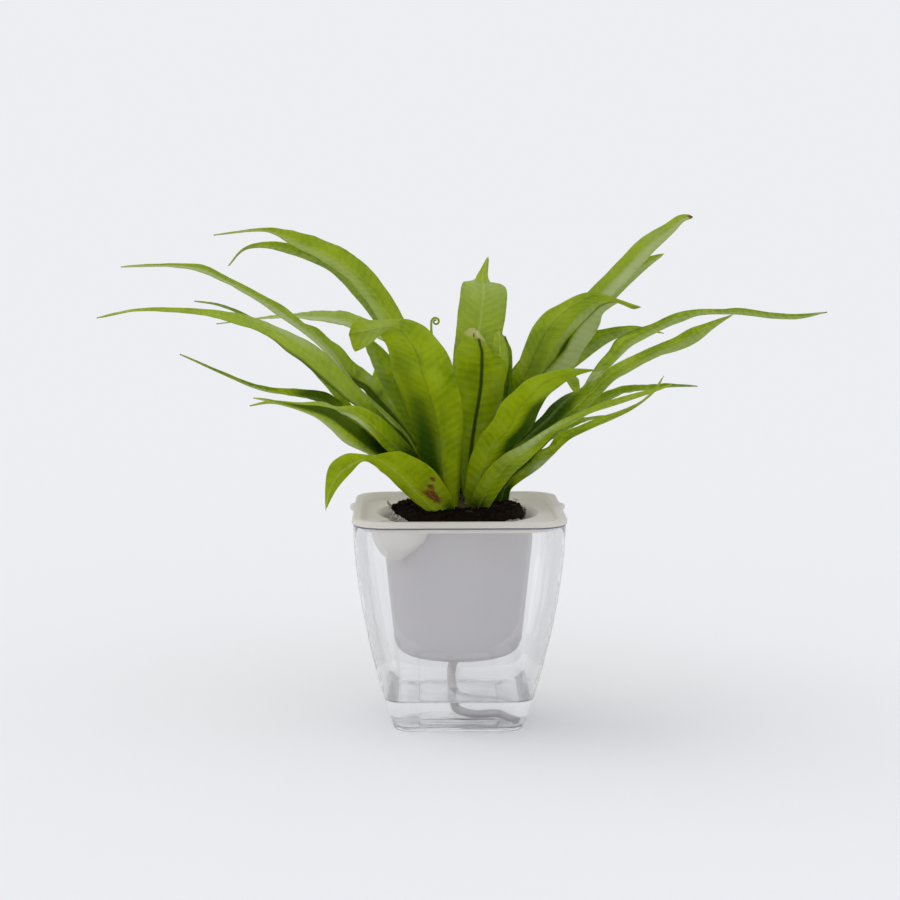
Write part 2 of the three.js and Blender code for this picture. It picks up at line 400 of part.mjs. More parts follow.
// The inner pot is one moulding: square tray, round cup, wick hole, fill chute and two finger tabs.
function innerPot() {
  const foot = CUP_FOOT_Z;
  const seat = VESSEL_HEIGHT + SEAT_GAP;
  const skirtHalf = VESSEL_TOP_HALF - VESSEL_WALL - 0.6;
  const lipInner = TRAY_HALF - TRAY_LIP_WIDTH;
  const neck = cupRadius(TRAY_UNDERSIDE);
  const profile = [
    [WICK_HOLE_RADIUS, foot, 0], [cupRadius(foot) - 7, foot, 0], [cupRadius(foot) - 2.6, foot + 1.8, 0],
    [cupRadius(foot + 7), foot + 7, 0], [neck, TRAY_UNDERSIDE, 0], [skirtHalf - 1.6, TRAY_UNDERSIDE, 1],
    [skirtHalf - 0.5, TRAY_UNDERSIDE - 0.4, 1], [skirtHalf, TRAY_UNDERSIDE, 1],
    [skirtHalf, seat, 1], [TRAY_HALF - 0.4, seat, 1],
    [TRAY_HALF, seat + 0.5, 1], [TRAY_HALF, TRAY_LIP_TOP - 0.9, 1], [TRAY_HALF - 0.8, TRAY_LIP_TOP, 1],
    [lipInner + 1.2, TRAY_LIP_TOP, 1], [lipInner + 0.3, TRAY_LIP_TOP - 0.6, 1],
    [lipInner - 0.3, TRAY_FLOOR, 1],
    [CUP_MOUTH_RADIUS + 3.2, TRAY_FLOOR, 0], [CUP_MOUTH_RADIUS + 2.4, TRAY_FLOOR + 0.8, 0],
    [CUP_MOUTH_RADIUS + 0.6, TRAY_FLOOR + 0.8, 0], [CUP_MOUTH_RADIUS - 0.6, TRAY_FLOOR - 0.6, 0],
    [cupRadius(TRAY_FLOOR - 5) - CUP_WALL, TRAY_FLOOR - 5, 0],
    [cupRadius(foot + 7) - CUP_WALL, foot + 7, 0],
    [cupRadius(foot) - 2.6 - CUP_WALL, foot + 2.6, 0], [cupRadius(foot) - 8, foot + CUP_WALL, 0],
    [WICK_HOLE_RADIUS, foot + CUP_WALL, 0], [WICK_HOLE_RADIUS, foot, 0],
  ];
  const moulding = toSolid(turned(profile, 40));

  const below = CHUTE_RINGS[0][0] - 5;
  const trayCore = toSolid(turned([
    [0, below, 1], [skirtHalf, below, 1], [skirtHalf, TRAY_FLOOR - 1, 1], [0, TRAY_FLOOR - 1, 1]], 40));
  const boreRoom = toSolid(turned([
    [0, below - 5, 1], [lipInner - 1.5, below - 5, 1], [lipInner - 1.5, TRAY_LIP_TOP + 5, 1],
    [0, TRAY_LIP_TOP + 5, 1]], 40));
  const shell = chuteBowl(0, 0, 0).intersect(trayCore).subtract(cupBody(CUP_WALL / 2));
  const bore = chuteBowl(CHUTE_WALL, 3, 3.2).subtract(cupBody(-0.2)).intersect(boreRoom);

  let pot = moulding.add(shell).subtract(bore);
  for (const side of [-1, 1]) {
    const tab = new THREE.CylinderGeometry(1, 1, TAB.thickness, 24);
    tab.rotateX(Math.PI / 2);
    tab.scale(TAB.reach + 1, TAB.halfLength, 1);
    tab.translate(side * (TRAY_HALF - 1), TAB.y, seat + 0.5 + TAB.thickness / 2);
    pot = pot.add(toSolid(tab));
  }
  return toGeometry(pot);
}

function tube(route, radius, steps, sides) {
  const outline = new THREE.Shape();
  outline.absarc(0, 0, radius, 0, Math.PI * 2);
  const path = new THREE.CatmullRomCurve3(route.map((point) => new THREE.Vector3(...point)));
  return new THREE.ExtrudeGeometry(outline, {
    steps, extrudePath: path, curveSegments: sides, bevelEnabled: false,
  });
}

function ballRadius(z) {
  const up = (z - BALL_FOOT_Z) / (BALL_EDGE_Z - BALL_FOOT_Z);
  return THREE.MathUtils.lerp(BALL_FOOT_RADIUS, BALL_TOP_RADIUS, up);
}

// The root ball: peat in the taper of the pot it was raised in, with a low mound on top.
function rootBall() {
  const profile = [
    [0, BALL_FOOT_Z], [29, BALL_FOOT_Z], [34.5, BALL_FOOT_Z + 2], [ballRadius(52), 52],
    [ballRadius(90), 90], [ballRadius(128), 128], [BALL_TOP_RADIUS - 1.2, BALL_EDGE_Z],
    [37, 134.2], [30, 135.2], [CROWN_RADIUS + 2, 134.8], [0, 134.8],
  ];
  const points = profile.map(([radius, z]) => new THREE.Vector2(radius, z));
  const geometry = new THREE.LatheGeometry(points, 40);
  geometry.rotateX(Math.PI / 2);
  return closed(geometry);
}

// The clear film round the root ball, its crumpled top edge standing up at the left and at the right.
function rootWrap() {
  const gap = 0.45;
  const segments = 40;
  const rows = 3;
  const points = [];
  for (let i = 0; i <= rows; i += 1) points.push(new THREE.Vector2(2, i));
  for (let i = rows; i >= 0; i -= 1) points.push(new THREE.Vector2(1, i));
  points.push(new THREE.Vector2(2, 0));
  const geometry = new THREE.LatheGeometry(points, segments);
  const position = geometry.attributes.position;
  for (let i = 0; i <= segments; i += 1) {
    const angle = (i % segments) / segments * Math.PI * 2;
    const left = Math.max(0, -Math.cos(angle - 0.1)) ** 6;
    const right = Math.max(0, Math.cos(angle)) ** 8;
    const top = 129 + 12 * left + 7 * right + Math.sin(angle * 7);
    points.forEach(({ x, y }, j) => {
      const z = THREE.MathUtils.lerp(WRAP_FOOT_Z, top, y / rows);
      const lean = Math.max(0, z - 131) * 0.22;
      const radius = ballRadius(Math.min(z, BALL_EDGE_Z)) + gap + (x - 1) * WRAP_THICKNESS + lean;
      position.setXYZ(i * points.length + j, radius * Math.cos(angle), radius * Math.sin(angle), z);
    });
  }
  return toGeometry(toSolid(geometry));
}

// The crown: the short scaly rhizome that every frond grows from.
function crown() {
  const profile = [
    [0, CROWN_FOOT_Z], [CROWN_RADIUS, CROWN_FOOT_Z], [CROWN_RADIUS, CROWN_FOOT_Z + 0.8],
    [11, 137.8], [6, 140.3], [0, CROWN_TOP_Z],
  ];
  const points = profile.map(([radius, z]) => new THREE.Vector2(radius, z));
  const geometry = new THREE.LatheGeometry(points, 24);
  geometry.rotateX(Math.PI / 2);
  return closed(geometry);
}

function curveThrough(points) {
  const route = points.map(([x, y, z]) => new THREE.Vector3(x, y, z));
  return new THREE.CatmullRomCurve3(route, false, 'catmullrom');
}

// The sections of a blade that follows a midrib: its centre, direction, way across and half width.
function sectionsOnMidrib({ face, stations }) {
  const path = curveThrough(stations);
  const last = stations.length - 1;
  const steps = last * STEPS_PER_STATION;
  const azimuth = THREE.MathUtils.degToRad(face);
  const side = new THREE.Vector3(-Math.sin(azimuth), Math.cos(azimuth), 0);
  const sections = [];
  for (let i = 0; i <= steps; i += 1) {
    const u = i / steps;
    const at = Math.min(Math.floor(u * last), last - 1);
    const share = THREE.MathUtils.smoothstep(u * last - at, 0, 1);
    const half = THREE.MathUtils.lerp(stations[at][3], stations[at + 1][3], share);
    const turn = THREE.MathUtils.lerp(stations[at][4], stations[at + 1][4], share);
    const tangent = path.getTangent(u);
    side.addScaledVector(tangent, -side.dot(tangent)).normalize();
    const across = side.clone().applyAxisAngle(tangent, THREE.MathUtils.degToRad(turn));
    sections.push({ centre: path.getPoint(u), tangent, across, half });
  }
  return sections;
}

// The same for a blade that is given by its two edges.
function sectionsBetween(edges) {
  const left = curveThrough(edges.map((pair) => pair.slice(0, 3)));
  const right = curveThrough(edges.map((pair) => pair.slice(3)));
  const steps = (edges.length - 1) * STEPS_PER_STATION;
  const sections = [];
  for (let i = 0; i <= steps; i += 1) {
    const u = i / steps;
    const across = left.getPoint(u).sub(right.getPoint(u));
    sections.push({
      centre: left.getPoint(u).add(right.getPoint(u)).multiplyScalar(0.5),
      tangent: left.getTangent(u).add(right.getTangent(u)).normalize(),
      half: across.length() / 2,
      across: across.normalize(),
    });
  }
  return sections;
}

// A frond's blade: a thin V section carried along, thickest at the midrib.
function blade(frond) {
  const rise = THREE.MathUtils.degToRad(frond.fold);
  const sections = frond.edges ? sectionsBetween(frond.edges) : sectionsOnMidrib(frond);
  const steps = sections.length - 1;
  const vertices = [];
  for (const { centre, tangent, across, half } of sections) {
    const up = tangent.clone().cross(across).normalize();
    const corner = (reach, lift) => centre.clone().addScaledVector(across, reach).addScaledVector(up, lift);
    const reach = half * Math.cos(rise);
    const edge = half * Math.sin(rise);
    const rib = Math.min(RIB_THICKNESS, half) / 2;
    const thin = Math.min(EDGE_THICKNESS, half) / 2;
    vertices.push(
      corner(reach, edge + thin), corner(0, rib), corner(-reach, edge + thin),
      corner(-reach, edge - thin), corner(0, -rib), corner(reach, edge - thin));
  }
  const index = [];
  const ring = 6;
  for (let i = 0; i < steps; i += 1) {
    for (let j = 0; j < ring; j += 1) {
      const [a, b] = [i * ring + j, i * ring + (j + 1) % ring];
      index.push(a, b, a + ring, b, b + ring, a + ring);
    }
  }
  for (const [start, flip] of [[0, true], [steps * ring, false]]) {
    for (const [a, b, c] of [[0, 1, 5], [1, 4, 5], [1, 2, 4], [2, 3, 4]]) {
      index.push(...(flip ? [start + a, start + c, start + b] : [start + a, start + b, start + c]));
    }
  }
  const geometry = new THREE.BufferGeometry();
  const numbers = vertices.flatMap((vertex) => vertex.toArray());
  geometry.setAttribute('position', new THREE.Float32BufferAttribute(numbers, 3));
  geometry.setIndex(index);
  return geometry;
}

function crozier() {
  const { x, y, z, radius, turns, stalkRadius } = CROZIER_COIL;
  const route = [...CROZIER_STALK];
  const count = 12;
  for (let i = 0; i <= count; i += 1) {
    const angle = Math.PI - i / count * turns * 2 * Math.PI;
    const reach = THREE.MathUtils.lerp(radius, 0.7, i / count);
    route.push([x + reach * Math.cos(angle), y + i / count * 2.6, z + reach * Math.sin(angle)]);
  }
  return closed(tube(route, stalkRadius, 80, 3));
}

const plastic = { roughness: 0.45, metalness: 0 };
const MATERIALS = {
  clear: { color: 0xdfe6ea, roughness: 0.08, metalness: 0, transparent: true, opacity: 0.3 },
  white: { color: 0xdcdad2, ...plastic },
  water: { color: 0xe4edf0, roughness: 0.02, metalness: 0, transparent: true, opacity: 0.35 },
  cotton: { color: 0xb9b0ac, roughness: 0.95, metalness: 0 },
  peat: { color: 0x20130b, roughness: 0.98, metalness: 0 },
  film: { color: 0xcfc9bc, roughness: 0.15, metalness: 0, transparent: true, opacity: 0.5 },
  scale: { color: 0x2b2410, roughness: 0.9, metalness: 0 },
  leaf: { color: 0x6b9110, roughness: 0.5, metalness: 0 },
  youngLeaf: { color: 0x93ab1c, roughness: 0.5, metalness: 0 },
};

const fern = new THREE.Group();

function add(name, geometry, material) {
  const mesh = new THREE.Mesh(geometry, new THREE.MeshStandardMaterial(MATERIALS[material]));
  mesh.name = name;
  fern.add(mesh);
}

add('outer_vessel', outerVessel(), 'clear');
add('inner_pot', innerPot(), 'white');
add('water', water(), 'water');
add('wick', closed(tube(WICK_ROUTE, WICK_RADIUS, 14, 5)), 'cotton');
add('root_ball', rootBall(), 'peat');
add('root_wrap', rootWrap(), 'film');
add('crown', crown(), 'scale');
for (const [name, frond] of Object.entries(FRONDS)) {
  add(name, blade(frond), name.startsWith('young') ? 'youngLeaf' : 'leaf');
}
add('crozier', crozier(), 'youngLeaf');

export default fern;
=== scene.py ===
# A young bird's nest fern in a self-watering pot: clear vessel, water, white inner pot with its tray,
# cotton wick, peat ball and the rosette of fronds. Sizes are in millimetres and become metres on the way in.
import bpy
import bmesh
import math
import random
from mathutils import Matrix, Vector, noise


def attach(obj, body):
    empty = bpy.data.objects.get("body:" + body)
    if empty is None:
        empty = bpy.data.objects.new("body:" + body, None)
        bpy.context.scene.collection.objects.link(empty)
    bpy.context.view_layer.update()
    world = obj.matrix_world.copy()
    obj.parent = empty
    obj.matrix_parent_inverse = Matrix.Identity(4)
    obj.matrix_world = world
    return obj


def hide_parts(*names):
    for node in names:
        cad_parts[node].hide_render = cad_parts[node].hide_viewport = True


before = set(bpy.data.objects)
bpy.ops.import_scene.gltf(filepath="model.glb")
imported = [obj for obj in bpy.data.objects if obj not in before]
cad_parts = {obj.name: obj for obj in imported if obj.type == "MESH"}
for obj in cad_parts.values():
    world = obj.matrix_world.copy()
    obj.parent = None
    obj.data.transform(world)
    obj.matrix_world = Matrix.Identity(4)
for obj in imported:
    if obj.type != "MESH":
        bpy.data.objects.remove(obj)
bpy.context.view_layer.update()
scene = bpy.context.scene
scene.view_settings.view_transform = "Standard"
unit = 0.001

# Where the photo was taken from. Tilt and turn are in degrees.
camera = {
    "lens": 75.3,
    "sensor": 36,
    "place": (-28.05, -1166.7, 315),
    "tilt": 82.924,
    "turn": -1.134,
}


def addCamera():
    data = bpy.data.cameras.new("camera")
    data.lens = camera["lens"]
    data.sensor_width = camera["sensor"]
    eye = bpy.data.objects.new("camera", data)
    eye.location = Vector(camera["place"]) * unit
    eye.rotation_euler = (math.radians(camera["tilt"]), 0, math.radians(camera["turn"]))
    scene.collection.objects.link(eye)
    scene.camera = eye


def around(angle, radius=1, height=0, middle=(0, 0)):  # a point at that angle round an upright axis
    return Vector((middle[0] + radius * math.cos(angle), middle[1] + radius * math.sin(angle), height))


def anyAngle():
    return random.random() * math.tau


# One socket of a material's nodes. A sum on it adds Math nodes, and node() adds any other node.
class Wire:
    def __init__(self, tree, socket=None):
        self.tree = tree
        self.socket = socket

    def node(self, kind, sockets=None, out=0, **settings):
        made = self.tree.nodes.new("ShaderNode" + kind)
        for name, value in settings.items():
            setattr(made, name, value)
        for name, value in (sockets or {}).items():
            if isinstance(value, Wire):
                self.tree.links.new(value.socket, made.inputs[name])
            else:
                made.inputs[name].default_value = value
        return Wire(self.tree, made.outputs[out] if made.outputs else None)

    def sum(self, operation, other, swapped=False):
        first, second = (other, self) if swapped else (self, other)
        return self.node("Math", {0: first, 1: second}, operation=operation)

    def __abs__(self):
        return self.node("Math", {0: self}, operation="ABSOLUTE")

    def sine(self):
        return self.node("Math", {0: self}, operation="SINE")

    def step(self, low, high):  # 0 up to low, 1 from high on, smooth between
        return self.node("MapRange", {0: self, 1: low, 2: high}, interpolation_type="SMOOTHSTEP")

    def part(self, axis):
        return self.node("SeparateXYZ", {0: self}, axis)

    def noise(self, scale, detail, roughness):
        sockets = {"Vector": self, "Scale": scale, "Detail": detail, "Roughness": roughness}
        return self.node("TexNoise", sockets)

    def tinted(self, colour, other, share):  # colour to other, by share
        return self.node("Mix", {0: share, 6: colour, 7: other}, 2, data_type="RGBA")

    def bumped(self, strength, distance):
        return self.node("Bump", {"Strength": strength, "Distance": distance, "Height": self})

    def mixedWith(self, other, share):  # shaders: this one to the other, by share
        return self.node("MixShader", {0: share, 1: self, 2: other})

    def place(self):  # in metres, the same for every piece
        return self.node("TexCoord", out=3)

    def attribute(self, name, out):
        return self.node("Attribute", None, out, attribute_name=name)

    def rays(self, kind):  # 1 for camera, shadow or diffuse rays
        return self.node("LightPath", out=("camera", "shadow", "diffuse").index(kind))

    def seeThrough(self, colour):
        return self.node("BsdfTransparent", {"Color": colour})

    def coated(self, colour, roughness, **others):  # names of other sockets have _ for a space
        sockets = {name.replace("_", " "): value for name, value in others.items()}
        return self.node("BsdfPrincipled", {"Base Color": colour, "Roughness": roughness, **sockets})

    def feed(self, ending):
        self.node(ending, {"Surface": self})


for sign, operation in (("add", "ADD"), ("sub", "SUBTRACT"), ("mul", "MULTIPLY")):
    setattr(Wire, f"__{sign}__", lambda self, other, o=operation: self.sum(o, other))
    setattr(Wire, f"__r{sign}__", lambda self, other, o=operation: self.sum(o, other, swapped=True))


def rgb(red, green, blue):
    return (red, green, blue, 1.0)


def newMaterial(name):
    material = bpy.data.materials.new(name)
    material.use_nodes = True
    material.node_tree.nodes.clear()
    return material, Wire(material.node_tree)


def finished(material, shader):
    shader.feed("OutputMaterial")
    return material


def deselect():
    if bpy.context.object and bpy.context.object.mode != "OBJECT":
        bpy.ops.object.mode_set(mode="OBJECT")
    bpy.ops.object.select_all(action="DESELECT")


def pick(*pieces):
    deselect()
    for piece in pieces:
        piece.select_set(True)
    bpy.context.view_layer.objects.active = pieces[0]


def edit(piece):
    pick(piece)
    bpy.ops.object.mode_set(mode="EDIT")
    bpy.ops.mesh.select_all(action="SELECT")


def named(name):
    piece = bpy.context.object
    piece.name = name
    piece.data.name = name
    bpy.ops.object.transform_apply(location=True, rotation=True, scale=True)
    return piece


def applyAll(piece):
    pick(piece)
    for modifier in list(piece.modifiers):
        bpy.ops.object.modifier_apply(modifier=modifier.name)


def outward(piece, merge=0.00001):
    edit(piece)
    bpy.ops.mesh.remove_doubles(threshold=merge)
    bpy.ops.mesh.normals_make_consistent(inside=False)
    bpy.ops.object.mode_set(mode="OBJECT")


def smooth(piece, angle):  # edges that fold by more than the angle, in degrees, stay sharp
    pick(piece)
    bpy.ops.object.shade_smooth_by_angle(angle=math.radians(angle))


def thicken(piece, thickness, **settings):
    wall = piece.modifiers.new("wall", "SOLIDIFY")
    wall.thickness = thickness * unit
    for name, value in settings.items():
        setattr(wall, name, value)
    applyAll(piece)


def join(first, *others):
    pick(first, *others)
    bpy.ops.object.join()
    return bpy.context.object


def meshPiece(name, vertices, faces):
    mesh = bpy.data.meshes.new(name)
    mesh.from_pydata(vertices, [], faces)
    piece = bpy.data.objects.new(name, mesh)
    scene.collection.objects.link(piece)
    return piece


def settle(piece, node, slot, *materials):  # the piece stands for a CAD node, with its finish
    piece.data.materials.clear()
    for material in materials:
        piece.data.materials.append(material)
    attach(piece, "root")
    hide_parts(node)


# How far a rounded square's outline lies in a direction. With no corner it is a circle.
def outlineAt(angle, half, corner):
    corner = half if corner is None else corner
    straight = half - corner
    short, long = sorted((abs(math.cos(angle)), abs(math.sin(angle))))
    if half / long * short <= straight:
        return half / long
    reach = straight * (long + short)
    return reach + math.sqrt(max(reach * reach - 2 * straight * straight + corner * corner, 0))


def shapeRing(piece, ring, was):  # in edit mode: what is selected moves from round its old middle to the ring
    half, height, corner = ring[:3]
    at = ring[3] if len(ring) > 3 else (0, 0)
    cage = bmesh.from_edit_mesh(piece.data)
    for vertex in cage.verts:
        if vertex.select:
            angle = math.atan2(vertex.co.y / unit - was[1], vertex.co.x / unit - was[0])
            vertex.co = around(angle, outlineAt(angle, half, corner), height, at) * unit
    bmesh.update_edit_mesh(piece.data)
    return at


# A form grown ring by ring with Extrude. Each ring is (half width, height, corner radius, None if round),
# and a fourth value moves its middle.
def ringForm(name, rings, face=True, sides=288):
    deselect()
    bpy.ops.mesh.primitive_circle_add(vertices=sides, radius=unit, fill_type="NGON" if face else "NOTHING")
    piece = named(name)
    edit(piece)
    was = (0, 0)
    for i, ring in enumerate(rings):
        if i:
            bpy.ops.mesh.extrude_region_move()
        was = shapeRing(piece, ring, was)
    bpy.ops.object.mode_set(mode="OBJECT")
    return piece


def smoothRoute(points, share):  # a smooth line through points, 0 to 1
    last = len(points) - 1
    place = min(max(share, 0), 1) * last
    at = min(int(place), last - 1)
    t = place - at
    second, third = Vector(points[at]), Vector(points[at + 1])
    first = Vector(points[at - 1]) if at > 0 else 2 * second - third
    fourth = Vector(points[at + 2]) if at + 2 <= last else 2 * third - second
    start, end = (third - first) / 2, (fourth - second) / 2
    return (
        second * (2 * t**3 - 3 * t**2 + 1) + third * (3 * t**2 - 2 * t**3)
        + start * (t**3 - 2 * t**2 + t) + end * (t**3 - t**2)
    )


# A tube along a line: radiusAt(share, angle) gives its section. Its UV map runs along and round it.
def tubeAlong(name, line, radiusAt, sides):
    vertices, faces, uvs = [], [], []
    across = Vector((0, 0, 1)).cross(line[1] - line[0])
    if across.length < 0.001 * (line[1] - line[0]).length:
        across = Vector((1, 0, 0))
    run = 0
    for i, point in enumerate(line):
        ahead = (line[min(i + 1, len(line) - 1)] - line[max(i - 1, 0)]).normalized()
        across = (across - ahead * across.dot(ahead)).normalized()
        other = ahead.cross(across)
        run += (point - line[i - 1]).length if i else 0
        for j in range(sides):
            angle = math.tau * j / sides
            reach = radiusAt(i / (len(line) - 1), angle)
            vertices.append((point + (across * math.cos(angle) + other * math.sin(angle)) * reach) * unit)
            uvs.append((j / sides, run * unit))
    for i in range(len(line) - 1):
        for j in range(sides):
            a, b = i * sides + j, i * sides + (j + 1) % sides
            faces.append((a, b, b + sides, a + sides))
    top = (len(line) - 1) * sides
    faces.append(tuple(reversed(range(sides))))
    faces.append(tuple(range(top, top + sides)))
    piece = meshPiece(name, vertices, faces)
    layer = piece.data.uv_layers.new(name="UVMap")
    for i, corner in enumerate(piece.data.loops):
        layer.data[i].uv = uvs[corner.vertex_index]
    return piece


wick = {
    "route": [
        (0, 0, 44.2), (-0.4, 0, 40.5), (-3.4, -0.5, 34), (-4, -1.5, 27), (-3.4, -4, 19), (-1, -9, 12.8),
        (5, -15, 10.2), (13, -18.5, 10), (21, -20, 10.2), (27, -22.5, 9.7), (31, -26, 7.4), (33.5, -30, 6.5)],
    "radius": 3.0,
    "lobe": 0.42,  # how deep the three strands' grooves are
    "pitch": 17,
    "steps": 110,
    "sides": 30,
    "looseFibres": 26,
    "fibreRadius": 0.16,
}


def cottonFinish():
    material, wire = newMaterial("damp cotton")
    drawnOut = wire.node("Mapping", {"Vector": wire.node("UVMap"), "Scale": (26.0, 500.0, 1.0)})
    fibre = drawnOut.noise(1.0, 6.0, 0.7)
    tuft = wire.place().noise(900, 4.0, 0.65)
    weave = (fibre * 0.6 + tuft * 0.4).step(0.35, 0.65)
    colour = wire.tinted(rgb(0.64, 0.61, 0.60), rgb(0.86, 0.83, 0.81), weave)
    soaked = rgb(0.40, 0.385, 0.39)  # under the water
    colour = wire.tinted(soaked, colour, wire.place().part(2).step(0.019, 0.0205))
    bump = (fibre + tuft * 0.8).bumped(0.8, 0.0006)
    return finished(material, wire.coated(colour, 0.9, Normal=bump, Sheen_Weight=0.3, Sheen_Roughness=0.5))


def addWick():
    steps = wick["steps"]
    line = [smoothRoute(wick["route"], i / steps) for i in range(steps + 1)]
    length = sum((line[i + 1] - line[i]).length for i in range(len(line) - 1))
    random.seed(11)

    def section(share, angle):  # three strands, twisted
        twist = angle * 3 + share * length / wick["pitch"] * math.tau
        fray = 0.12 * noise.noise((math.cos(angle) * 3, math.sin(angle) * 3, share * 60))
        return wick["radius"] - wick["lobe"] + wick["lobe"] * math.cos(twist) + fray

    piece = tubeAlong("cotton_wick", line, section, wick["sides"])
    ahead = (line[-1] - line[-2]).normalized()
    ends = []
    for i in range(wick["looseFibres"]):  # at the cut end
        angle = anyAngle()
        spot = Vector((math.cos(angle), math.sin(angle) * 0.8, math.sin(angle) * 0.4))
        spot *= random.uniform(0.3, 2.2)
        spot -= ahead * spot.dot(ahead)
        start = line[-2] + spot
        reach = random.uniform(0.5, 1.6)
        drift = Vector((random.uniform(-0.4, 0.4), random.uniform(-0.4, 0.4), random.uniform(-0.3, 0.2)))
        fibre = [start + ahead * reach * k / 4 + drift * (k / 4) ** 2 for k in range(5)]
        ends.append(tubeAlong(
            "fibre", fibre, lambda share, angle: wick["fibreRadius"] * (1 - share * 0.8), 5))
    piece = join(piece, *ends)
    outward(piece, 0.000001)
    smooth(piece, 60)
    settle(piece, "wick", "cotton", cottonFinish())
    tuple(line[0] * unit)
    length * unit
    [tuple(point * unit) for point in line]
    print("wick", round(length, 1), "mm")


vessel = {
    "height": 131,
    "topHalf": 64.2,
    "baseHalf": 41,
    "baseRise": 3,
    "swell": 1.72,
    "wall": 1.7,
    "floor": 2.6,
    "cornerShare": 0.31,
    "padHalf": 25,
    "padRise": 4,
    "rings": 26,
}


def vesselHalf(height):
    up = min(max((height - vessel["baseRise"]) / (vessel["height"] - vessel["baseRise"]), 0), 1)
    return vessel["baseHalf"] + (vessel["topHalf"] - vessel["baseHalf"]) * (1 - (1 - up) ** vessel["swell"])


def vesselRing(height, inset):  # a ring that far inside the vessel's outer face, even all round
    half = vesselHalf(height)
    return (half - inset, height, half * vessel["cornerShare"] - inset)


def wallBetween(low, high, inset, rings):
    return [vesselRing(low + (high - low) * i / rings, inset) for i in range(rings + 1)]


def padRing(grownBy, height):
    return (vessel["padHalf"] + grownBy, height, vessel["padHalf"] * vessel["cornerShare"] + grownBy)


# Clear plastic or water that lets lamps through, so that the pot inside is lit. Plain is the share of
# every other ray that goes through unbent.
def clearFinish(name, index, tint, roughness, lamps, plain=0.0):
    material, wire = newMaterial(name)
    ripple = wire.place().noise(22, 1.0, 0.4).bumped(0.05, 0.004)
    glass = wire.coated(tint, roughness, IOR=index, Transmission_Weight=1.0, Normal=ripple)
    unbent = wire.rays("shadow") + wire.rays("diffuse")
    return finished(material, glass.mixedWith(wire.seeThrough(lamps), unbent * (1 - plain) + plain))


def paintedRimReflection():  # painted reflection: the vessel's clear edge coloured bluish where it catches the light
    material, wire = newMaterial("vessel rim")
    return finished(material, wire.coated(rgb(0.15, 0.145, 0.26), 0.2))


def addVessel():
    floor, wall, top = vessel["floor"], vessel["wall"], vessel["height"]
    padTop = floor + vessel["padRise"]
    piece = ringForm("clear_vessel", [
        vesselRing(0, 4), vesselRing(0.12, 2.4), vesselRing(0.6, 1.2), vesselRing(1.5, 0.4),
        *wallBetween(vessel["baseRise"], top - 0.7, 0, vessel["rings"]),
        vesselRing(top - 0.15, 0.2), vesselRing(top, 0.55), vesselRing(top, wall - 0.55),
        vesselRing(top - 0.3, wall - 0.12),
        *wallBetween(top - 1.2, floor + 3, wall, vessel["rings"]),
        vesselRing(floor + 1.4, wall + 0.9), vesselRing(floor + 0.4, wall + 2.4), vesselRing(floor, wall + 5),
        padRing(0.7, floor), padRing(0.1, floor + 0.5), padRing(-0.3, padTop - 0.9),
        padRing(-0.7, padTop - 0.25), padRing(-1.6, padTop)])
    outward(piece)
    smooth(piece, 35)
    settle(piece, "outer_vessel", "clear_plastic", clearFinish(
        "clear plastic", 1.49, rgb(0.998, 0.998, 1.0), 0.01, rgb(0.985, 0.985, 0.99), 0.15), paintedRimReflection())
    for polygon in piece.data.polygons:
        polygon.material_index = 1 if polygon.center.z > (top - 0.5) * unit else 0
    print("vessel")


# The water reaches a little way into the plastic, so that no air shows between them.
water = {"level": 20, "overlap": 0.15, "meniscus": 1.1}


def addWater():
    floor, padTop = vessel["floor"], vessel["floor"] + vessel["padRise"]
    inset = vessel["wall"] - water["overlap"]
    low, level = floor - water["overlap"], water["level"]
    piece = ringForm("water", [
        padRing(-1.6, padTop - water["overlap"]), padRing(-0.6, padTop - 0.5), padRing(0.1, floor + 0.5),
        padRing(0.8, low), vesselRing(low, inset + 5), vesselRing(low + 0.4, inset + 2.4),
        vesselRing(low + 1.4, inset + 0.9), *wallBetween(low + 3, level + water["meniscus"], inset, 8),
        vesselRing(level + 0.45, inset + 0.5), vesselRing(level + 0.12, inset + 1.3),
        vesselRing(level, inset + 2.6)])
    outward(piece)
    smooth(piece, 50)
    settle(piece, "water", "water", clearFinish(
        "water", 1.333, rgb(0.99, 0.995, 1.0), 0.0, rgb(0.99, 0.99, 0.99)))
    print("water")


innerPot = {
    "trayHalf": 65,
    "lipTop": 134.7,
    "lipWidth": 5.5,
    "trayFloor": 130.2,
    "underside": 128,
    "seat": 131.3,
    "footHeight": 42.5,
    "footRadius": 39.5,
    "taper": 0.107,
    "wall": 1.8,
    "mouth": 49.5,
    "wickHole": 4.6,
    "skirtInset": 2.8,
    "cupRings": 14,
    "footTurns": (0.001, 0.25, 0.5, 0.75, 1.0, 1.25, 1.48),
    "collar": (  # the bead round the soil: (out from the mouth, up from the tray's floor)
        (3.4, 0), (2.9, 0.25), (2.4, 0.75), (1.9, 0.95), (1.1, 0.95), (0.4, 0.6), (-0.3, -0.2), (-0.9, -1.6)),
    "chute": [  # (height, radius, its middle) from the bottom of the bowl to the tray
        (106.6, 2.6, (-38, -30)), (107.1, 4.2, (-38.5, -30.5)), (108.6, 6.2, (-39, -32)),
        (111, 8.8, (-39, -34)), (115, 12.4, (-37.6, -37)), (119, 15.2, (-36.8, -39.4)),
        (124, 17.6, (-36, -40.8)), (129.2, 18.4, (-36, -41))],
    "chuteWall": 1.5,
    "tab": {"y": 10, "halfLength": 11, "reach": 2.8, "thickness": 2.2, "rounding": 0.5},
}


def cupRadius(height):
    return innerPot["footRadius"] + innerPot["taper"] * (height - innerPot["footHeight"] - 2)


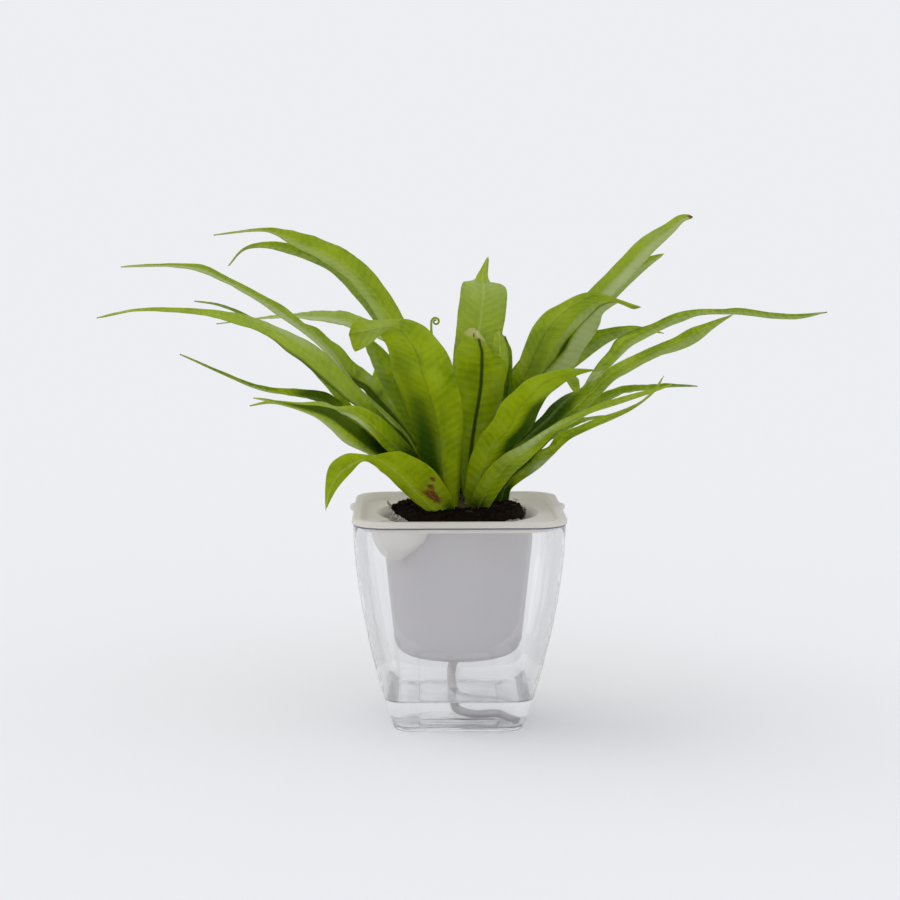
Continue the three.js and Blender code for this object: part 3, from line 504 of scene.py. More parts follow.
def whiteFinish():
    material, wire = newMaterial("white moulding")
    place = wire.place()
    cloud = place.noise(28, 3.0, 0.5)
    grain = place.noise(2600, 2.0, 0.6)
    colour = wire.tinted(rgb(0.80, 0.785, 0.755), rgb(0.86, 0.845, 0.815), cloud.step(0.3, 0.7))
    x, y, height = place.part(0), place.part(1), place.part(2)
    out = (x * x + y * y).sum("POWER", 0.5) - height * innerPot["taper"]
    wall = (innerPot["footRadius"] - innerPot["taper"] * (innerPot["footHeight"] + 2)) * unit
    cup = (1 - out.step(wall + 0.0001, wall + 0.0007)) * (1 - height.step(0.1265, 0.1275))
    colour = wire.tinted(colour, rgb(0.66, 0.645, 0.66), cup)  # greyer over the cup: the dark peat behind its thin wall, and painted shade under the tray
    bump = (grain * 0.3 + cloud).bumped(0.12, 0.0006)
    shader = wire.coated(colour, 0.36 + grain * 0.12, IOR=1.5, Normal=bump)
    thin = wire.node("BsdfTranslucent", {"Color": rgb(0.97, 0.94, 0.89)})
    return finished(material, shader.mixedWith(thin, 0.3 + height.step(0.128, 0.1295) * 0.3))


def boolean(piece, operation, cutter):
    tool = piece.modifiers.new(operation.lower(), "BOOLEAN")
    tool.operation = operation
    tool.solver = "MANIFOLD"
    tool.object = cutter
    applyAll(piece)
    bpy.data.objects.remove(cutter)


def addInnerPot():
    foot, wall, floor = innerPot["footHeight"], innerPot["wall"], innerPot["trayFloor"]
    hole, mouth, half = innerPot["wickHole"], innerPot["mouth"], innerPot["trayHalf"]
    under, seat, top = innerPot["underside"], innerPot["seat"], innerPot["lipTop"]
    skirt = vessel["topHalf"] - innerPot["skirtInset"]
    share = vessel["cornerShare"]
    rings = innerPot["cupRings"]

    def tray(inset, height, of=half):  # a ring that far inside the tray's edge, even all round
        return (of - inset, height, of * share - inset)

    def cup(height, inset=0):
        return (cupRadius(height) - inset, height, None)

    # The foot's edge is a quarter of an ellipse.
    footRound = [(cupRadius(foot) - 9 + 8.6 * math.sin(turn), foot + 6.4 * (1 - math.cos(turn)), None)
                 for turn in innerPot["footTurns"]]
    lip = innerPot["lipWidth"]
    piece = ringForm("inner_pot", [
        (hole, foot, None), (hole + 3, foot, None), (20, foot, None), *footRound,
        *[cup(foot + 8 + i * (under - foot - 8) / rings) for i in range(rings + 1)],
        tray(1.6, under, skirt), tray(0.7, under - 0.35, skirt), tray(0.15, under - 0.05, skirt),
        tray(0, under + 0.5, skirt), tray(0, seat, skirt),
        tray(0.5, seat), tray(0.1, seat + 0.15), tray(0, seat + 0.6), tray(0, top - 1.1),
        tray(0.15, top - 0.5), tray(0.5, top - 0.12), tray(1.1, top), tray(lip - 1.5, top),
        tray(lip - 0.8, top - 0.15), tray(lip - 0.35, top - 0.6), tray(lip - 0.1, top - 1.4),
        tray(lip + 0.15, floor + 0.9), tray(lip + 0.5, floor + 0.3), tray(lip + 1.3, floor),
        *[(mouth + out, floor + up, None) for out, up in innerPot["collar"]],
        *[cup(floor - 5 - i * (floor - 5 - foot - 8) / rings, wall) for i in range(rings + 1)],
        (cupRadius(foot) - 3.5 - wall, foot + 3.4, None), (cupRadius(foot) - 9, foot + wall, None),
        (hole, foot + wall, None), (hole, foot, None)], face=False)
    outward(piece)

    chute = innerPot["chute"]

    def addBowl(name, operation, inset, drop, rise, grownBy):  # without what would stand in the cup
        forms = [(radius - inset, height + drop * (i == 0), None, at)
                 for i, (height, radius, at) in enumerate(chute)]
        if rise:
            forms.append((chute[-1][1] - inset + 0.6, chute[-1][0] + rise, None, chute[-1][2]))
        bowl = ringForm(name, forms, sides=96)
        outward(bowl)
        boolean(bowl, "DIFFERENCE", ringForm("cup_space", [cup(90, -grownBy), cup(145, -grownBy)]))
        boolean(piece, operation, bowl)

    addBowl("chute", "UNION", 0, 0, 0, -wall / 2)
    # The bore starts lower and ends higher than the shell.
    addBowl("chute_bore", "DIFFERENCE", innerPot["chuteWall"], -3, 3.2, 0.2)
    tab = innerPot["tab"]
    for side in (-1, 1):
        deselect()
        bpy.ops.mesh.primitive_cylinder_add(
            vertices=64, radius=unit, depth=tab["thickness"] * unit,
            location=(side * (half - 1) * unit, tab["y"] * unit, (seat + 0.5 + tab["thickness"] / 2) * unit),
            scale=(tab["reach"] + 1, tab["halfLength"], 1))
        grip = named("tab")
        rounding = grip.modifiers.new("round", "BEVEL")
        rounding.width = tab["rounding"] * unit
        rounding.segments = 3
        rounding.limit_method = "ANGLE"
        applyAll(grip)
        boolean(piece, "UNION", grip)
    smooth(piece, 32)
    settle(piece, "inner_pot", "white_plastic", whiteFinish())
    print("inner pot")


rootBall = {
    "footRadius": 37.4,
    "topRadius": 42,
    "foot": 44.9,
    "edge": 131.5,
    "top": 136,
    "sides": 192,
    "lump": 3.1,  # how long the soil's lumps and swells are
    "swell": 9,
    "crumbs": 1900,
    "crumbSize": (0.35, 0.95),
    "bigCrumbs": 0.08,  # the share of them that is larger
    "fibres": 45,
    "fibreRadius": 0.13,
}


def ballRadius(height):
    up = (height - rootBall["foot"]) / (rootBall["edge"] - rootBall["foot"])
    return rootBall["footRadius"] + (rootBall["topRadius"] - rootBall["footRadius"]) * up


def moundHeight(radius):  # the soil's top
    out = min(radius / rootBall["topRadius"], 1)
    return rootBall["top"] - 0.4 * (1 - out) - 2.4 * out**12


def peatFinish():
    material, wire = newMaterial("damp peat")
    place = wire.place()
    lump = place.noise(420, 4.0, 0.7)
    grit = place.noise(1700, 3.0, 0.7)
    dark = wire.tinted(rgb(0.002, 0.001, 0.0004), rgb(0.012, 0.0055, 0.0016), lump.step(0.35, 0.7))
    colour = wire.tinted(dark, rgb(0.16, 0.075, 0.026), grit.step(0.6, 0.75) * 0.6)
    return finished(material, wire.coated(
        colour, 0.93, Normal=(grit + lump).bumped(0.9, 0.0006), Specular_IOR_Level=0.1))


def hairFinish():
    material, wire = newMaterial("dry roots")
    tone = wire.place().noise(90, 2.0, 0.5).step(0.35, 0.65)
    colour = wire.tinted(rgb(0.03, 0.015, 0.007), rgb(0.12, 0.065, 0.03), tone)
    return finished(material, wire.coated(colour, 0.8))


# Many small copies of one lump, turned, squashed and moved, as one piece.
def scattered(name, lump, places):
    vertices, faces = [], []
    corners = [vertex.co.copy() for vertex in lump.data.vertices]
    sides = [tuple(polygon.vertices) for polygon in lump.data.polygons]
    for turn, size, spot in places:
        start = len(vertices)
        wobble = [1 + random.uniform(-0.25, 0.25) for corner in corners]
        vertices += [(turn @ Vector((c.x * size[0], c.y * size[1], c.z * size[2])) * w + spot) * unit
                     for c, w in zip(corners, wobble)]
        faces += [tuple(start + corner for corner in side) for side in sides]
    bpy.data.objects.remove(lump)
    return meshPiece(name, vertices, faces)


def randomTurn():
    return Matrix.Rotation(random.uniform(0, math.tau), 3, Vector(
        (random.uniform(-1, 1), random.uniform(-1, 1), random.uniform(-1, 1) + 0.01)).normalized())


def soilPlace(within=41):  # a random radius and angle, even over the soil
    return within * math.sqrt(random.random()), anyAngle()


def addRootBall():
    random.seed(3)
    foot, edge = rootBall["foot"], rootBall["edge"]
    heights = [foot + 7 + (edge - 1.5 - foot - 7) * i / 40 for i in range(41)]
    rims = [40.6 - 1.35 * i for i in range(30)]
    piece = ringForm("peat_ball", [
        (29, foot, None), (33, foot + 0.6, None), (35.5, foot + 2.4, None),
        (ballRadius(foot + 4.5) - 0.3, foot + 4.5, None),
        *[(ballRadius(height) - 0.4, height, None) for height in heights], (41.1, edge - 0.5, None),
        *[(radius, moundHeight(radius), None) for radius in rims]], sides=rootBall["sides"])
    for vertex in piece.data.vertices:
        spot = vertex.co / unit
        lump = noise.noise(spot / rootBall["lump"]) * 0.7 + noise.noise(spot / 1.3 + Vector((7, 1, 4))) * 0.45
        if spot.z > edge - 2:
            vertex.co.z += (lump * 1.1 + noise.noise(spot / rootBall["swell"]) * 0.9) * unit
        else:
            away = Vector((spot.x, spot.y, 0)).normalized()
            vertex.co += away * (min(lump, 0.3) - 0.3) * 0.6 * unit
    deselect()
    bpy.ops.mesh.primitive_ico_sphere_add(subdivisions=1, radius=1, location=(0, 0, 0))
    lump = named("crumb")
    places = []
    for i in range(rootBall["crumbs"]):
        radius, angle = soilPlace()
        size = random.uniform(*rootBall["crumbSize"]) ** 1.2
        size *= 1.6 if random.random() < rootBall["bigCrumbs"] else 1
        spot = around(angle, radius, moundHeight(radius) + size * 0.2)
        spot.z += noise.noise(spot / rootBall["swell"]) * 0.9 + noise.noise(spot / rootBall["lump"]) * 0.7
        turn = randomTurn()
        places.append((turn, (size, size * random.uniform(0.6, 1), size * random.uniform(0.5, 0.9)), spot))
    crumbs = scattered("crumbs", lump, places)
    strands = []
    for i in range(rootBall["fibres"]):
        radius, angle = soilPlace(40)
        start = around(angle, radius, moundHeight(radius) + 0.5)
        towards = anyAngle()
        reach = random.uniform(2, 6)
        line = []
        for k in range(6):
            share = k / 5
            towards += random.uniform(-0.4, 0.4)
            line.append(start + around(towards) * reach * share
                        + Vector((0, 0, math.sin(share * math.pi) * random.uniform(0.2, 1.3))))
        strands.append(tubeAlong("root_hair", line, lambda share, angle: rootBall["fibreRadius"], 4))
    hairs = join(*strands)
    hairs.data.materials.append(hairFinish())
    crumbs.data.materials.append(peatFinish())
    piece.data.materials.append(crumbs.data.materials[0])
    outward(piece)
    smooth(piece, 80)
    piece = join(piece, crumbs, hairs)
    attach(piece, "root")
    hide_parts("root_ball")
    print("root ball", len(piece.data.polygons), "faces")


# The film is a smooth sleeve up to the still height, and crumpled and torn above it.
film = {
    "foot": 96,
    "still": 120,
    "edge": 129,
    "leftRise": 10,
    "rightRise": 3,
    "thickness": 0.14,
    "gap": 0.6,
    "crumple": 1.5,
}


def filmFinish():
    material, wire = newMaterial("crumpled clear film")
    place = wire.place()
    crease = place.noise(420, 4.0, 0.6).bumped(0.5, 0.0008)
    dirt = place.noise(700, 3.0, 0.65).step(0.52, 0.57)
    clear = wire.coated(rgb(0.96, 0.95, 0.92), 0.1, IOR=1.45, Transmission_Weight=1.0, Normal=crease)
    # whitish where it stands for the film's glints, a painted highlight; brown where it is dirty
    glintAndDirt = wire.tinted(rgb(0.84, 0.80, 0.74), rgb(0.05, 0.026, 0.012), dirt)
    both = clear.mixedWith(wire.coated(glintAndDirt, 0.35, Normal=crease), 0.45 + dirt * 0.5)
    through = wire.seeThrough(rgb(0.86, 0.86, 0.84))
    return finished(material, both.mixedWith(through, wire.rays("shadow") * 0.85))


def addFilm():
    rows = [film["foot"] + 28 * i / 8 for i in range(9)] + [124 + 0.8 * i for i in range(1, 24)]
    piece = ringForm("clear_film", [(41, row, None) for row in rows], face=False)
    still, highest = film["still"], rows[-1]
    for vertex in piece.data.vertices:
        spot = vertex.co / unit
        angle = math.atan2(spot.y, spot.x)
        left = max(0, -math.cos(angle - 0.1)) ** 16  # where the edge stands up
        right = max(0, math.cos(angle)) ** 24
        top = film["edge"] + film["leftRise"] * left + film["rightRise"] * right + 1.2 * math.sin(angle * 7)
        top += 1.6 * noise.noise(around(angle, 9, 2))
        share = max(spot.z - still, 0) / (highest - still)
        height = spot.z if spot.z < still else still + (top - still) * share
        crumple = max(0, (height - 116) / 14)
        seed = around(angle, 11, height / 3.4)
        crease = abs(noise.noise(seed)) - 0.22 + 0.6 * (abs(noise.noise(seed * 2.3)) - 0.2)
        radius = ballRadius(min(height, rootBall["edge"])) + film["gap"] + max(0, height - 131) * 0.2
        radius += crease * film["crumple"] * min(crumple, 1.6) * (0.25 if height < 129 else 1)
        if height < 130:
            radius = min(radius, cupRadius(height) - innerPot["wall"] - 0.25)
        turn = angle + 0.02 * noise.noise(seed * 1.4 + Vector((5, 0, 0))) * crumple
        vertex.co = around(turn, radius, height) * unit
    outward(piece)
    thicken(piece, film["thickness"], offset=0)
    smooth(piece, 45)
    settle(piece, "root_wrap", "clear_film", filmFinish())
    print("film")


crownShape = {
    "radius": 17,
    "rise": 7.2,
    "foot": 134.6,
    "scales": 60,
    "scaleReach": 15.5,
    "scaleTall": (4, 9),
    "scaleHalf": (0.9, 1.9),
    "scaleThickness": 0.35,
}


def crownFinish():
    material, wire = newMaterial("brown scales")
    tone = wire.place().noise(500, 4.0, 0.65)
    colour = wire.tinted(rgb(0.012, 0.008, 0.004), rgb(0.055, 0.036, 0.012), tone.step(0.3, 0.7))
    return finished(material, wire.coated(colour, 0.75, Normal=tone.bumped(0.6, 0.0004)))


def addCrown():
    random.seed(8)
    deselect()
    foot, bulk = crownShape["foot"], crownShape["radius"]
    bpy.ops.mesh.primitive_uv_sphere_add(
        segments=64, ring_count=32, radius=unit, location=(0, 0, foot * unit),
        scale=(bulk, bulk, crownShape["rise"]))
    piece = named("crown")
    for vertex in piece.data.vertices:
        spot = vertex.co / unit
        vertex.co += Vector((0, 0, 1)) * noise.noise(spot / 2.2) * 1.1 * unit
        vertex.co.z = max(vertex.co.z, (foot - 0.6) * unit)
    scales = []
    for i in range(crownShape["scales"]):
        angle = anyAngle()
        radius = crownShape["scaleReach"] * math.sqrt(random.uniform(0.05, 1))
        tall, wide = random.uniform(*crownShape["scaleTall"]), random.uniform(*crownShape["scaleHalf"])
        deselect()
        bpy.ops.mesh.primitive_grid_add(x_subdivisions=4, y_subdivisions=6, size=2)
        scale = named("scale")
        out, aside = around(angle), Vector((-math.sin(angle), math.cos(angle), 0))
        for vertex in scale.data.vertices:
            x, up = -vertex.co.x, (vertex.co.y + 1) / 2
            reach = wide * (1 - up**1.7) * x
            lean = radius + up**1.6 * tall * 0.35 - 0.5 * x * x
            height = 136.5 + tall * up + (15 - radius) * 0.25
            vertex.co = (out * lean + aside * reach + Vector((0, 0, height))) * unit
        thicken(scale, crownShape["scaleThickness"])
        scales.append(scale)
    piece = join(piece, *scales)
    outward(piece, 0.000005)
    smooth(piece, 70)
    settle(piece, "crown", "crown_scale", crownFinish())
    print("crown")


# Each frond, from root to tip. Fold is how far its halves lift, in degrees. Stations are (x, y, z, half
# width, roll), and face is where its back looks at the root, in degrees from +X. Where the photo shows both
# edges, a point on each stands for a station: (x, y, z, x, y, z).
# Its looks: yellow and light tint it, light partly as painted light for how brightly each frond is lit, and
# from pale on it is bleached. Rib darkens the midrib, or lightens it below 0, and wide is its width. Wave
# ruffles the edges, and crease moves the fold aside, at the root and by how much more at the tip. The painted
# shade and sheen look paints shade on the half that faces down, or below 0 a pale painted sheen. The painted
# deep shade look darkens the foot with painted shade towards the crown. Shades add painted shade, or painted
# sheen below 0, and spots add brown, each as (share of length, its spread, share of width, its spread,
# strength).
plainLooks = {
    "yellow": 0.5, "light": 0.4, "pale": 2, "rib": 0.12, "wide": 1, "wave": 1, "crease": (0, 0), "paintedShadeAndSheen": -0.5,
    "paintedDeepShade": 1, "shades": [], "spots": []}
fronds = {
  "frond_left_1": {"face": 160, "fold": 14, "yellow": 0.7, "light": 0.65, "paintedShadeAndSheen": -0.6, "stations": [
    (-6, 3, 142, 3, 0), (-21, 18, 199, 6, -30), (-37, 28, 240, 8, -42), (-56, 37, 270, 9, -42),
    (-71, 43, 284, 9, -42), (-87, 47, 293, 8.5, -40), (-104, 51, 300, 6.5, -38), (-123, 54, 306, 2.2, -30),
    (-156, 56, 303, 0.7, -20)]},
  "frond_left_2": {"face": 148, "fold": 12, "yellow": 0.5, "light": 0.5, "stations": [
    (-7, 7, 140.5, 3, 0), (-23, 31, 194, 5, -20), (-39, 46, 236, 6, -35), (-60, 57, 265, 6.5, -40),
    (-79, 62, 283, 5.5, -40), (-99, 65, 291, 4.5, -38), (-120, 68, 296, 3.2, -36), (-137, 69, 294, 1.2, -30),
    (-148, 69, 283, 0.7, -20)]},
  "frond_left_3": {"fold": 12, "yellow": 0.45, "light": 0.8, "wave": 0.8, "paintedShadeAndSheen": -1.2, "paintedDeepShade": 0.3,
    "shades": [(0.3, 0.16, 0, 2, -0.8)], "edges": [
    (-12.5, 1, 139.5, -10.5, 6, 139), (-33.5, 9, 175.5, -31, 13, 177), (-55, 14, 196.5, -52.5, 18, 198.5),
    (-67.5, 18, 208.5, -65.5, 22, 210.5), (-78.5, 21, 223, -75.5, 25, 225.5), (-89, 24, 234.5, -86, 28, 237),
    (-100.5, 27, 243.5, -96.5, 30, 247), (-114, 29, 252.5, -110, 33, 258), (-126, 31, 261, -121, 34, 264),
    (-138, 32, 268, -134.5, 36, 271), (-149, 33.5, 273.5, -147, 38, 277), (-163, 36, 279.5, -161, 40, 284),
    (-179, 37.5, 282.5, -178, 41, 285), (-195, 38.5, 283, -194.5, 41.5, 284.5),
    (-214, 41.5, 282.5, -214, 42.5, 283.5)]},
  "frond_left_4": {"fold": 12, "yellow": 0.4, "light": 0.8, "wave": 1.8, "paintedShadeAndSheen": 0.2, "paintedDeepShade": 0.6,
    "shades": [(0.24, 0.1, 0.45, 0.35, 3.4), (0.43, 0.08, 0.6, 0.3, 3.4), (0.36, 0.025, -0.3, 0.6, 0.8),
    (0.5, 0.025, -0.4, 0.6, 0.8), (0.3, 0.05, -0.6, 0.4, -1), (0.45, 0.04, -0.6, 0.4, -0.9),
    (0.04, 0.1, 0, 2, 1.5)], "edges": [
    (-12, 6.5, 139.5, -8.5, 11.5, 139.5), (-27.5, 20, 164, -19, 27, 169.5), (-37, 28, 177, -28.5, 33, 183),
    (-45.5, 33, 185, -35, 38, 193.5), (-53, 37, 193.5, -42, 42, 202), (-60, 41, 203, -51, 46, 210),
    (-67.5, 44, 207, -60.5, 50, 216.5), (-74, 48, 214.5, -67.5, 53, 222.5), (-79, 52, 224, -73.5, 56, 229),
    (-87, 56, 233, -82, 60, 235.5), (-95, 60, 239.5, -90, 63, 242), (-100, 62, 244.5, -98.5, 64, 245.5),
    (-105, 63.5, 248, -104.5, 64.5, 248)]},
  "frond_left_5": {"face": 140, "fold": 10, "yellow": 0.5, "light": 0.9, "paintedShadeAndSheen": -0.9,
    "shades": [(0.75, 0.3, 0, 2, -0.5)], "stations": [
    (-5, 13, 139.5, 3, 0), (-16, 45, 192, 6, 0), (-36, 74, 228, 8, -10), (-66, 100, 243, 8, -28),
    (-85, 110, 247, 8, -28), (-109, 122, 247, 5, -20), (-133, 132, 245, 3.5, -10), (-164, 142, 241, 0.7, 0)]},
  "frond_left_6": {"face": 163, "fold": 16, "stations": [
    (-19, 5, 137, 3, 0), (-38, 12, 160, 5, -10), (-66, 22, 190, 5, -15), (-92, 32, 219, 3.5, -20),
    (-113, 38, 239, 2.2, -20), (-132, 42, 250, 2, -20), (-151, 44, 258, 1.6, -15),
    (-168, 46, 261, 0.7, -10)]},
  "frond_left_7": {"fold": 12, "yellow": 0.6, "light": 0.95, "paintedShadeAndSheen": -0.1, "paintedDeepShade": 1.3, "wave": 0.6,
    "shades": [(0.42, 0.2, 1, 0.32, 1.2), (0.55, 0.12, -0.7, 0.4, -0.9), (0.02, 0.2, 0, 2, 1.8)], "edges": [
    (-11.5, -7.5, 139, -13, -0.5, 139.5), (-32, -13, 164.5, -30.5, 1, 173),
    (-47.5, -16, 180.5, -42.5, 2, 185.5), (-61.5, -17, 195.5, -54, 2.5, 197),
    (-76, -16, 207, -66.5, 4, 210.5), (-89.5, -12, 218.5, -79, 5, 225), (-103.5, -8, 229, -92, 8, 235.5),
    (-120, -3, 241, -111, 11, 244.5), (-138, 2, 248, -132, 13, 252.5), (-157, 6, 253, -153.5, 13, 256.5),
    (-178, 9, 255.5, -175.5, 13, 258), (-200.5, 11, 256, -200, 14, 257.5),
    (-225, 13.5, 251.5, -225.5, 14.5, 252.5)]},
  "frond_left_8": {"face": 186, "fold": 22, "wave": 0.8, "light": 0.3, "paintedShadeAndSheen": -0.3,
    "shades": [(0.55, 0.09, 0, 2, 1.5), (0.75, 0.08, 0.4, 0.8, -0.8)], "stations": [
    (-19, -3, 137, 3, 0), (-36, -14, 156, 6, -8), (-57, -22, 178, 7, -12), (-79, -20, 200.5, 8, -28),
    (-101, -16, 206, 6.5, -28), (-122, -14, 209.5, 3.8, -20), (-146, -12, 219.5, 2.2, -20),
    (-171, -10, 231, 0.7, -20)]},
  "frond_left_9": {"fold": 10, "yellow": 0.8, "light": 0.7, "paintedDeepShade": 0.9, "paintedShadeAndSheen": -0.3, "wave": 0.5,
    "shades": [(0.44, 0.07, 0.9, 0.4, -1.3), (0.62, 0.1, -0.5, 0.5, -0.6), (0.06, 0.17, 0.2, 2, 1.8)],
    "edges": [
    (-9, -14, 138, -13, -8, 138.5), (-24, -26, 152.5, -22, -16, 161), (-35.5, -36, 165, -30, -21, 173.5),
    (-44.5, -43, 174, -38.5, -26, 183.5), (-52.5, -48, 183.5, -47.5, -31, 192.5),
    (-61.5, -44, 191.5, -56.5, -31, 198.5), (-69.5, -43, 196.5, -66, -32, 200.5),
    (-78, -44, 198.5, -75, -34, 200.5), (-87.5, -43, 199, -84, -35, 203.5),
    (-96.5, -43, 200.5, -95, -37, 203.5), (-104.5, -45, 202.5, -103.5, -41, 204.5),
    (-114, -48, 204, -113.5, -45, 205.5), (-125, -52, 203, -125, -51, 203.5)]},
  "frond_left_10": {"fold": 26, "light": 0.6, "paintedShadeAndSheen": -0.5, "wave": 0.5, "yellow": 0.9,
    "shades": [(0.45, 0.35, -0.7, 0.62, 2.6), (0.6, 0.3, 1, 0.3, -0.9)], "edges": [
    (-14, -16, 136.5, -18, -12, 137.5), (-27.5, -29, 147.5, -31, -20, 152), (-38, -37, 155.5, -41, -26, 166),
    (-49, -44, 166, -49.5, -31, 176), (-58.5, -48, 172.5, -57.5, -38, 185), (-68, -51, 179, -66, -49, 195),
    (-77.5, -54, 188, -75.5, -49, 201), (-86, -56, 195, -84.5, -49, 202),
    (-95, -58, 199.5, -93.5, -51, 202.5), (-103.5, -60, 203, -103, -55, 204.5),
    (-112, -62, 206, -112, -58, 207), (-121.5, -65, 209, -121.5, -64.5, 209.5)]},
  "frond_left_11": {"fold": 14, "yellow": 1, "light": 0.5, "crease": (-0.5, 0.4), "rib": -1.6, "wave": 0.5,
    "paintedDeepShade": 0.3, "paintedShadeAndSheen": 0.4, "shades": [(0, 0.06, 0.7, 0.6, 1.2), (0.12, 0.1, -1, 0.3, 0.5)],
    "spots": [(0.145, 0.018, 0.36, 0.16, 0.9), (0.185, 0.02, 0.66, 0.14, 1), (0.1, 0.03, 0.1, 0.3, 0.75),
    (0.06, 0.03, 0.2, 0.35, 0.6), (0.15, 0.06, -0.2, 0.5, 0.42), (0.24, 0.03, 0.3, 0.3, 0.35)], "edges": [
    (-0.5, -22, 134, -17, -30, 134.5), (-3.5, -25, 144, -27.5, -35, 142.5),
    (-7.5, -30, 151.5, -35.5, -41, 150.5), (-12.5, -35, 159, -41.5, -46, 157),
    (-18.5, -40, 165.5, -45.5, -51, 161.5), (-27, -46, 171, -49.5, -56, 166),
    (-34.5, -52, 175, -53, -60, 169), (-43, -57, 175.5, -55, -64, 171), (-51.5, -63, 175, -58, -67, 171.5),
    (-59, -68, 176.5, -60.5, -69, 169.5), (-67, -71, 177, -64, -71, 165.5),
    (-75, -73, 172.5, -69, -73, 160.5), (-78.5, -75, 165.5, -73, -75, 155.5),
    (-79.5, -76, 155.5, -76.5, -76, 149.5), (-79.5, -77, 144, -79, -77, 144.5)]},
  "frond_left_12": {"face": 215, "fold": 12, "light": 0.6, "shades": [(0.3, 0.3, 0, 2, 0.5)], "stations": [
    (-8, -2, 141, 3, 0), (-25, 2, 182, 7, 20), (-37, 4, 206, 9, 30), (-46, 4, 222, 8, 30),
    (-53, 4, 233, 5, 30), (-58, 4, 241, 0.7, 30)]},
  "frond_front_1": {"fold": 12, "yellow": 0.8, "light": 0.5, "rib": 0.35, "wave": 0.4, "paintedShadeAndSheen": 0, "paintedDeepShade": 1.4,
    "shades": [(0.1, 0.24, -0.55, 0.7, 1.3), (0.08, 0.16, 1, 0.25, 0.9), (0.85, 0.12, 0, 2, -0.5),
    (0.46, 0.14, -0.75, 0.4, 0.45)], "edges": [
    (1, -16, 133.5, -14, -22, 134.5), (1.5, -20, 148, -19, -25, 148), (2.5, -28, 166, -24.5, -31, 166.5),
    (3, -34, 183, -28, -35, 183), (2, -40, 199, -32, -38, 198.5), (-0.5, -45, 212.5, -38, -41, 213),
    (-3.5, -47, 223.5, -41.5, -44, 223), (-5, -47, 229, -41.5, -46, 226), (-9.5, -50, 236.5, -43, -50, 235),
    (-15, -52, 244, -45, -54, 240.5), (-21.5, -54, 250.5, -47.5, -58, 245),
    (-29, -54, 254.5, -48.5, -61, 245), (-37.5, -54, 255.5, -49.5, -64, 244.5),
    (-47, -54, 255.5, -51.5, -67, 243), (-57, -55, 255.5, -58, -70, 239.5),
    (-66, -56, 255.5, -64.5, -71, 237)]},
  "frond_front_2": {"fold": 8, "yellow": 0.75, "light": 0.42, "rib": 1, "wide": 1.9, "wave": 0.4, "paintedShadeAndSheen": 0,
    "pale": 0.76, "crease": (-0.1, 0.75), "paintedDeepShade": 1.5, "shades": [(0.3, 0.2, 1, 0.4, 0.5)],
    "spots": [(0.83, 0.05, -0.1, 0.1, 1), (0.97, 0.02, 0.4, 0.4, 0.9), (0.8, 0.03, 0.8, 0.3, 0.5)], "edges": [
    (10, -8, 139.5, 3.5, -10, 140), (15, -7, 164.5, 1, -9, 165), (20.5, -4, 185.5, 1, -6, 186),
    (28, -1, 207, 0.5, -2, 207.5), (31, 2, 219, -2, 2, 219), (30, 5, 225.5, -2.5, 6, 228),
    (26.5, 8, 229.5, -0.5, 9, 234.5), (21, 12, 233, 3, 13, 239), (18.5, 17, 236.5, 4, 18, 242),
    (15.5, 22, 241, 7, 23, 244.5), (13, 26, 244, 10, 26, 245)]},
  "frond_front_3": {"fold": 16, "yellow": 0.9, "light": 0.5, "rib": 0.3, "paintedShadeAndSheen": 1, "wave": 0.8, "paintedDeepShade": 0.9,
    "shades": [(0, 0.12, 0, 1.5, 0.9), (0.42, 0.15, 0.95, 0.45, 1.7)], "edges": [
    (17, -17, 135.5, 3.5, -15, 136), (21, -20, 149.5, 3.5, -18, 149.5), (27, -27, 164, 5.5, -23, 165),
    (33, -36, 176.5, 11.5, -30, 181), (43, -43, 187, 18.5, -37, 191), (48, -48, 199.5, 23.5, -42, 202),
    (53, -52, 208.5, 30.5, -47, 209.5), (60.5, -55, 215.5, 38, -50, 217), (69, -58, 221, 48.5, -54, 222),
    (77, -60, 224, 62, -57, 225.5), (81, -61, 224.5, 80, -61, 225.5)]},
  "frond_front_4": {"fold": 12, "yellow": 0.75, "light": 0.65, "rib": 0.2, "paintedDeepShade": 0.6, "paintedShadeAndSheen": -0.3,
    "shades": [(0, 0.08, 0, 2, 1), (0.42, 0.16, -0.5, 0.7, -1.1)], "edges": [
    (18.5, -24, 136.5, 6.5, -21, 139), (24.5, -28, 147, 9.5, -25, 148.5), (32, -32, 158, 17, -29, 161.5),
    (41, -36, 167, 27, -33, 171.5), (49.5, -39, 176, 36.5, -37, 177), (58, -42, 186, 49, -40, 185.5),
    (67.5, -44, 191, 60.5, -43, 193), (78, -46, 197.5, 74, -45, 199.5), (91, -48, 202, 88.5, -48, 205.5),
    (105, -50, 207, 103.5, -49, 210), (117.5, -51, 211.5, 115.5, -51, 213),
    (127, -52, 215.5, 126.5, -52, 216)]},
  "frond_right_1": {"fold": 12, "yellow": 0.6, "light": 0.65, "rib": 0.35, "paintedShadeAndSheen": 0.1, "paintedDeepShade": 1.3,
    "wave": 0.6, "shades": [(0.27, 0.14, 0.2, 1.2, 0.7)], "edges": [
    (12.5, 1, 141.5, 6.5, 3, 141.5), (26.5, 5, 176, 18.5, 11, 175), (40.5, 9, 197.5, 29, 17, 201),
    (52.5, 13, 216.5, 38, 20, 223.5), (60.5, 17, 232.5, 46, 22, 243), (71, 20, 247, 54.5, 24, 254.5),
    (81.5, 23, 257, 65, 26, 260.5), (92, 25, 262.5, 79.5, 28, 267), (99.5, 26, 261.5, 91.5, 28, 266.5),
    (106, 27, 259, 104, 28, 262.5), (112, 28, 256.5, 111, 28, 260), (117, 28, 257.5, 117, 28, 258)]},
  "frond_right_2": {"fold": 12, "light": 0.65, "paintedShadeAndSheen": -0.9, "rib": 0.5, "wave": 0.6,
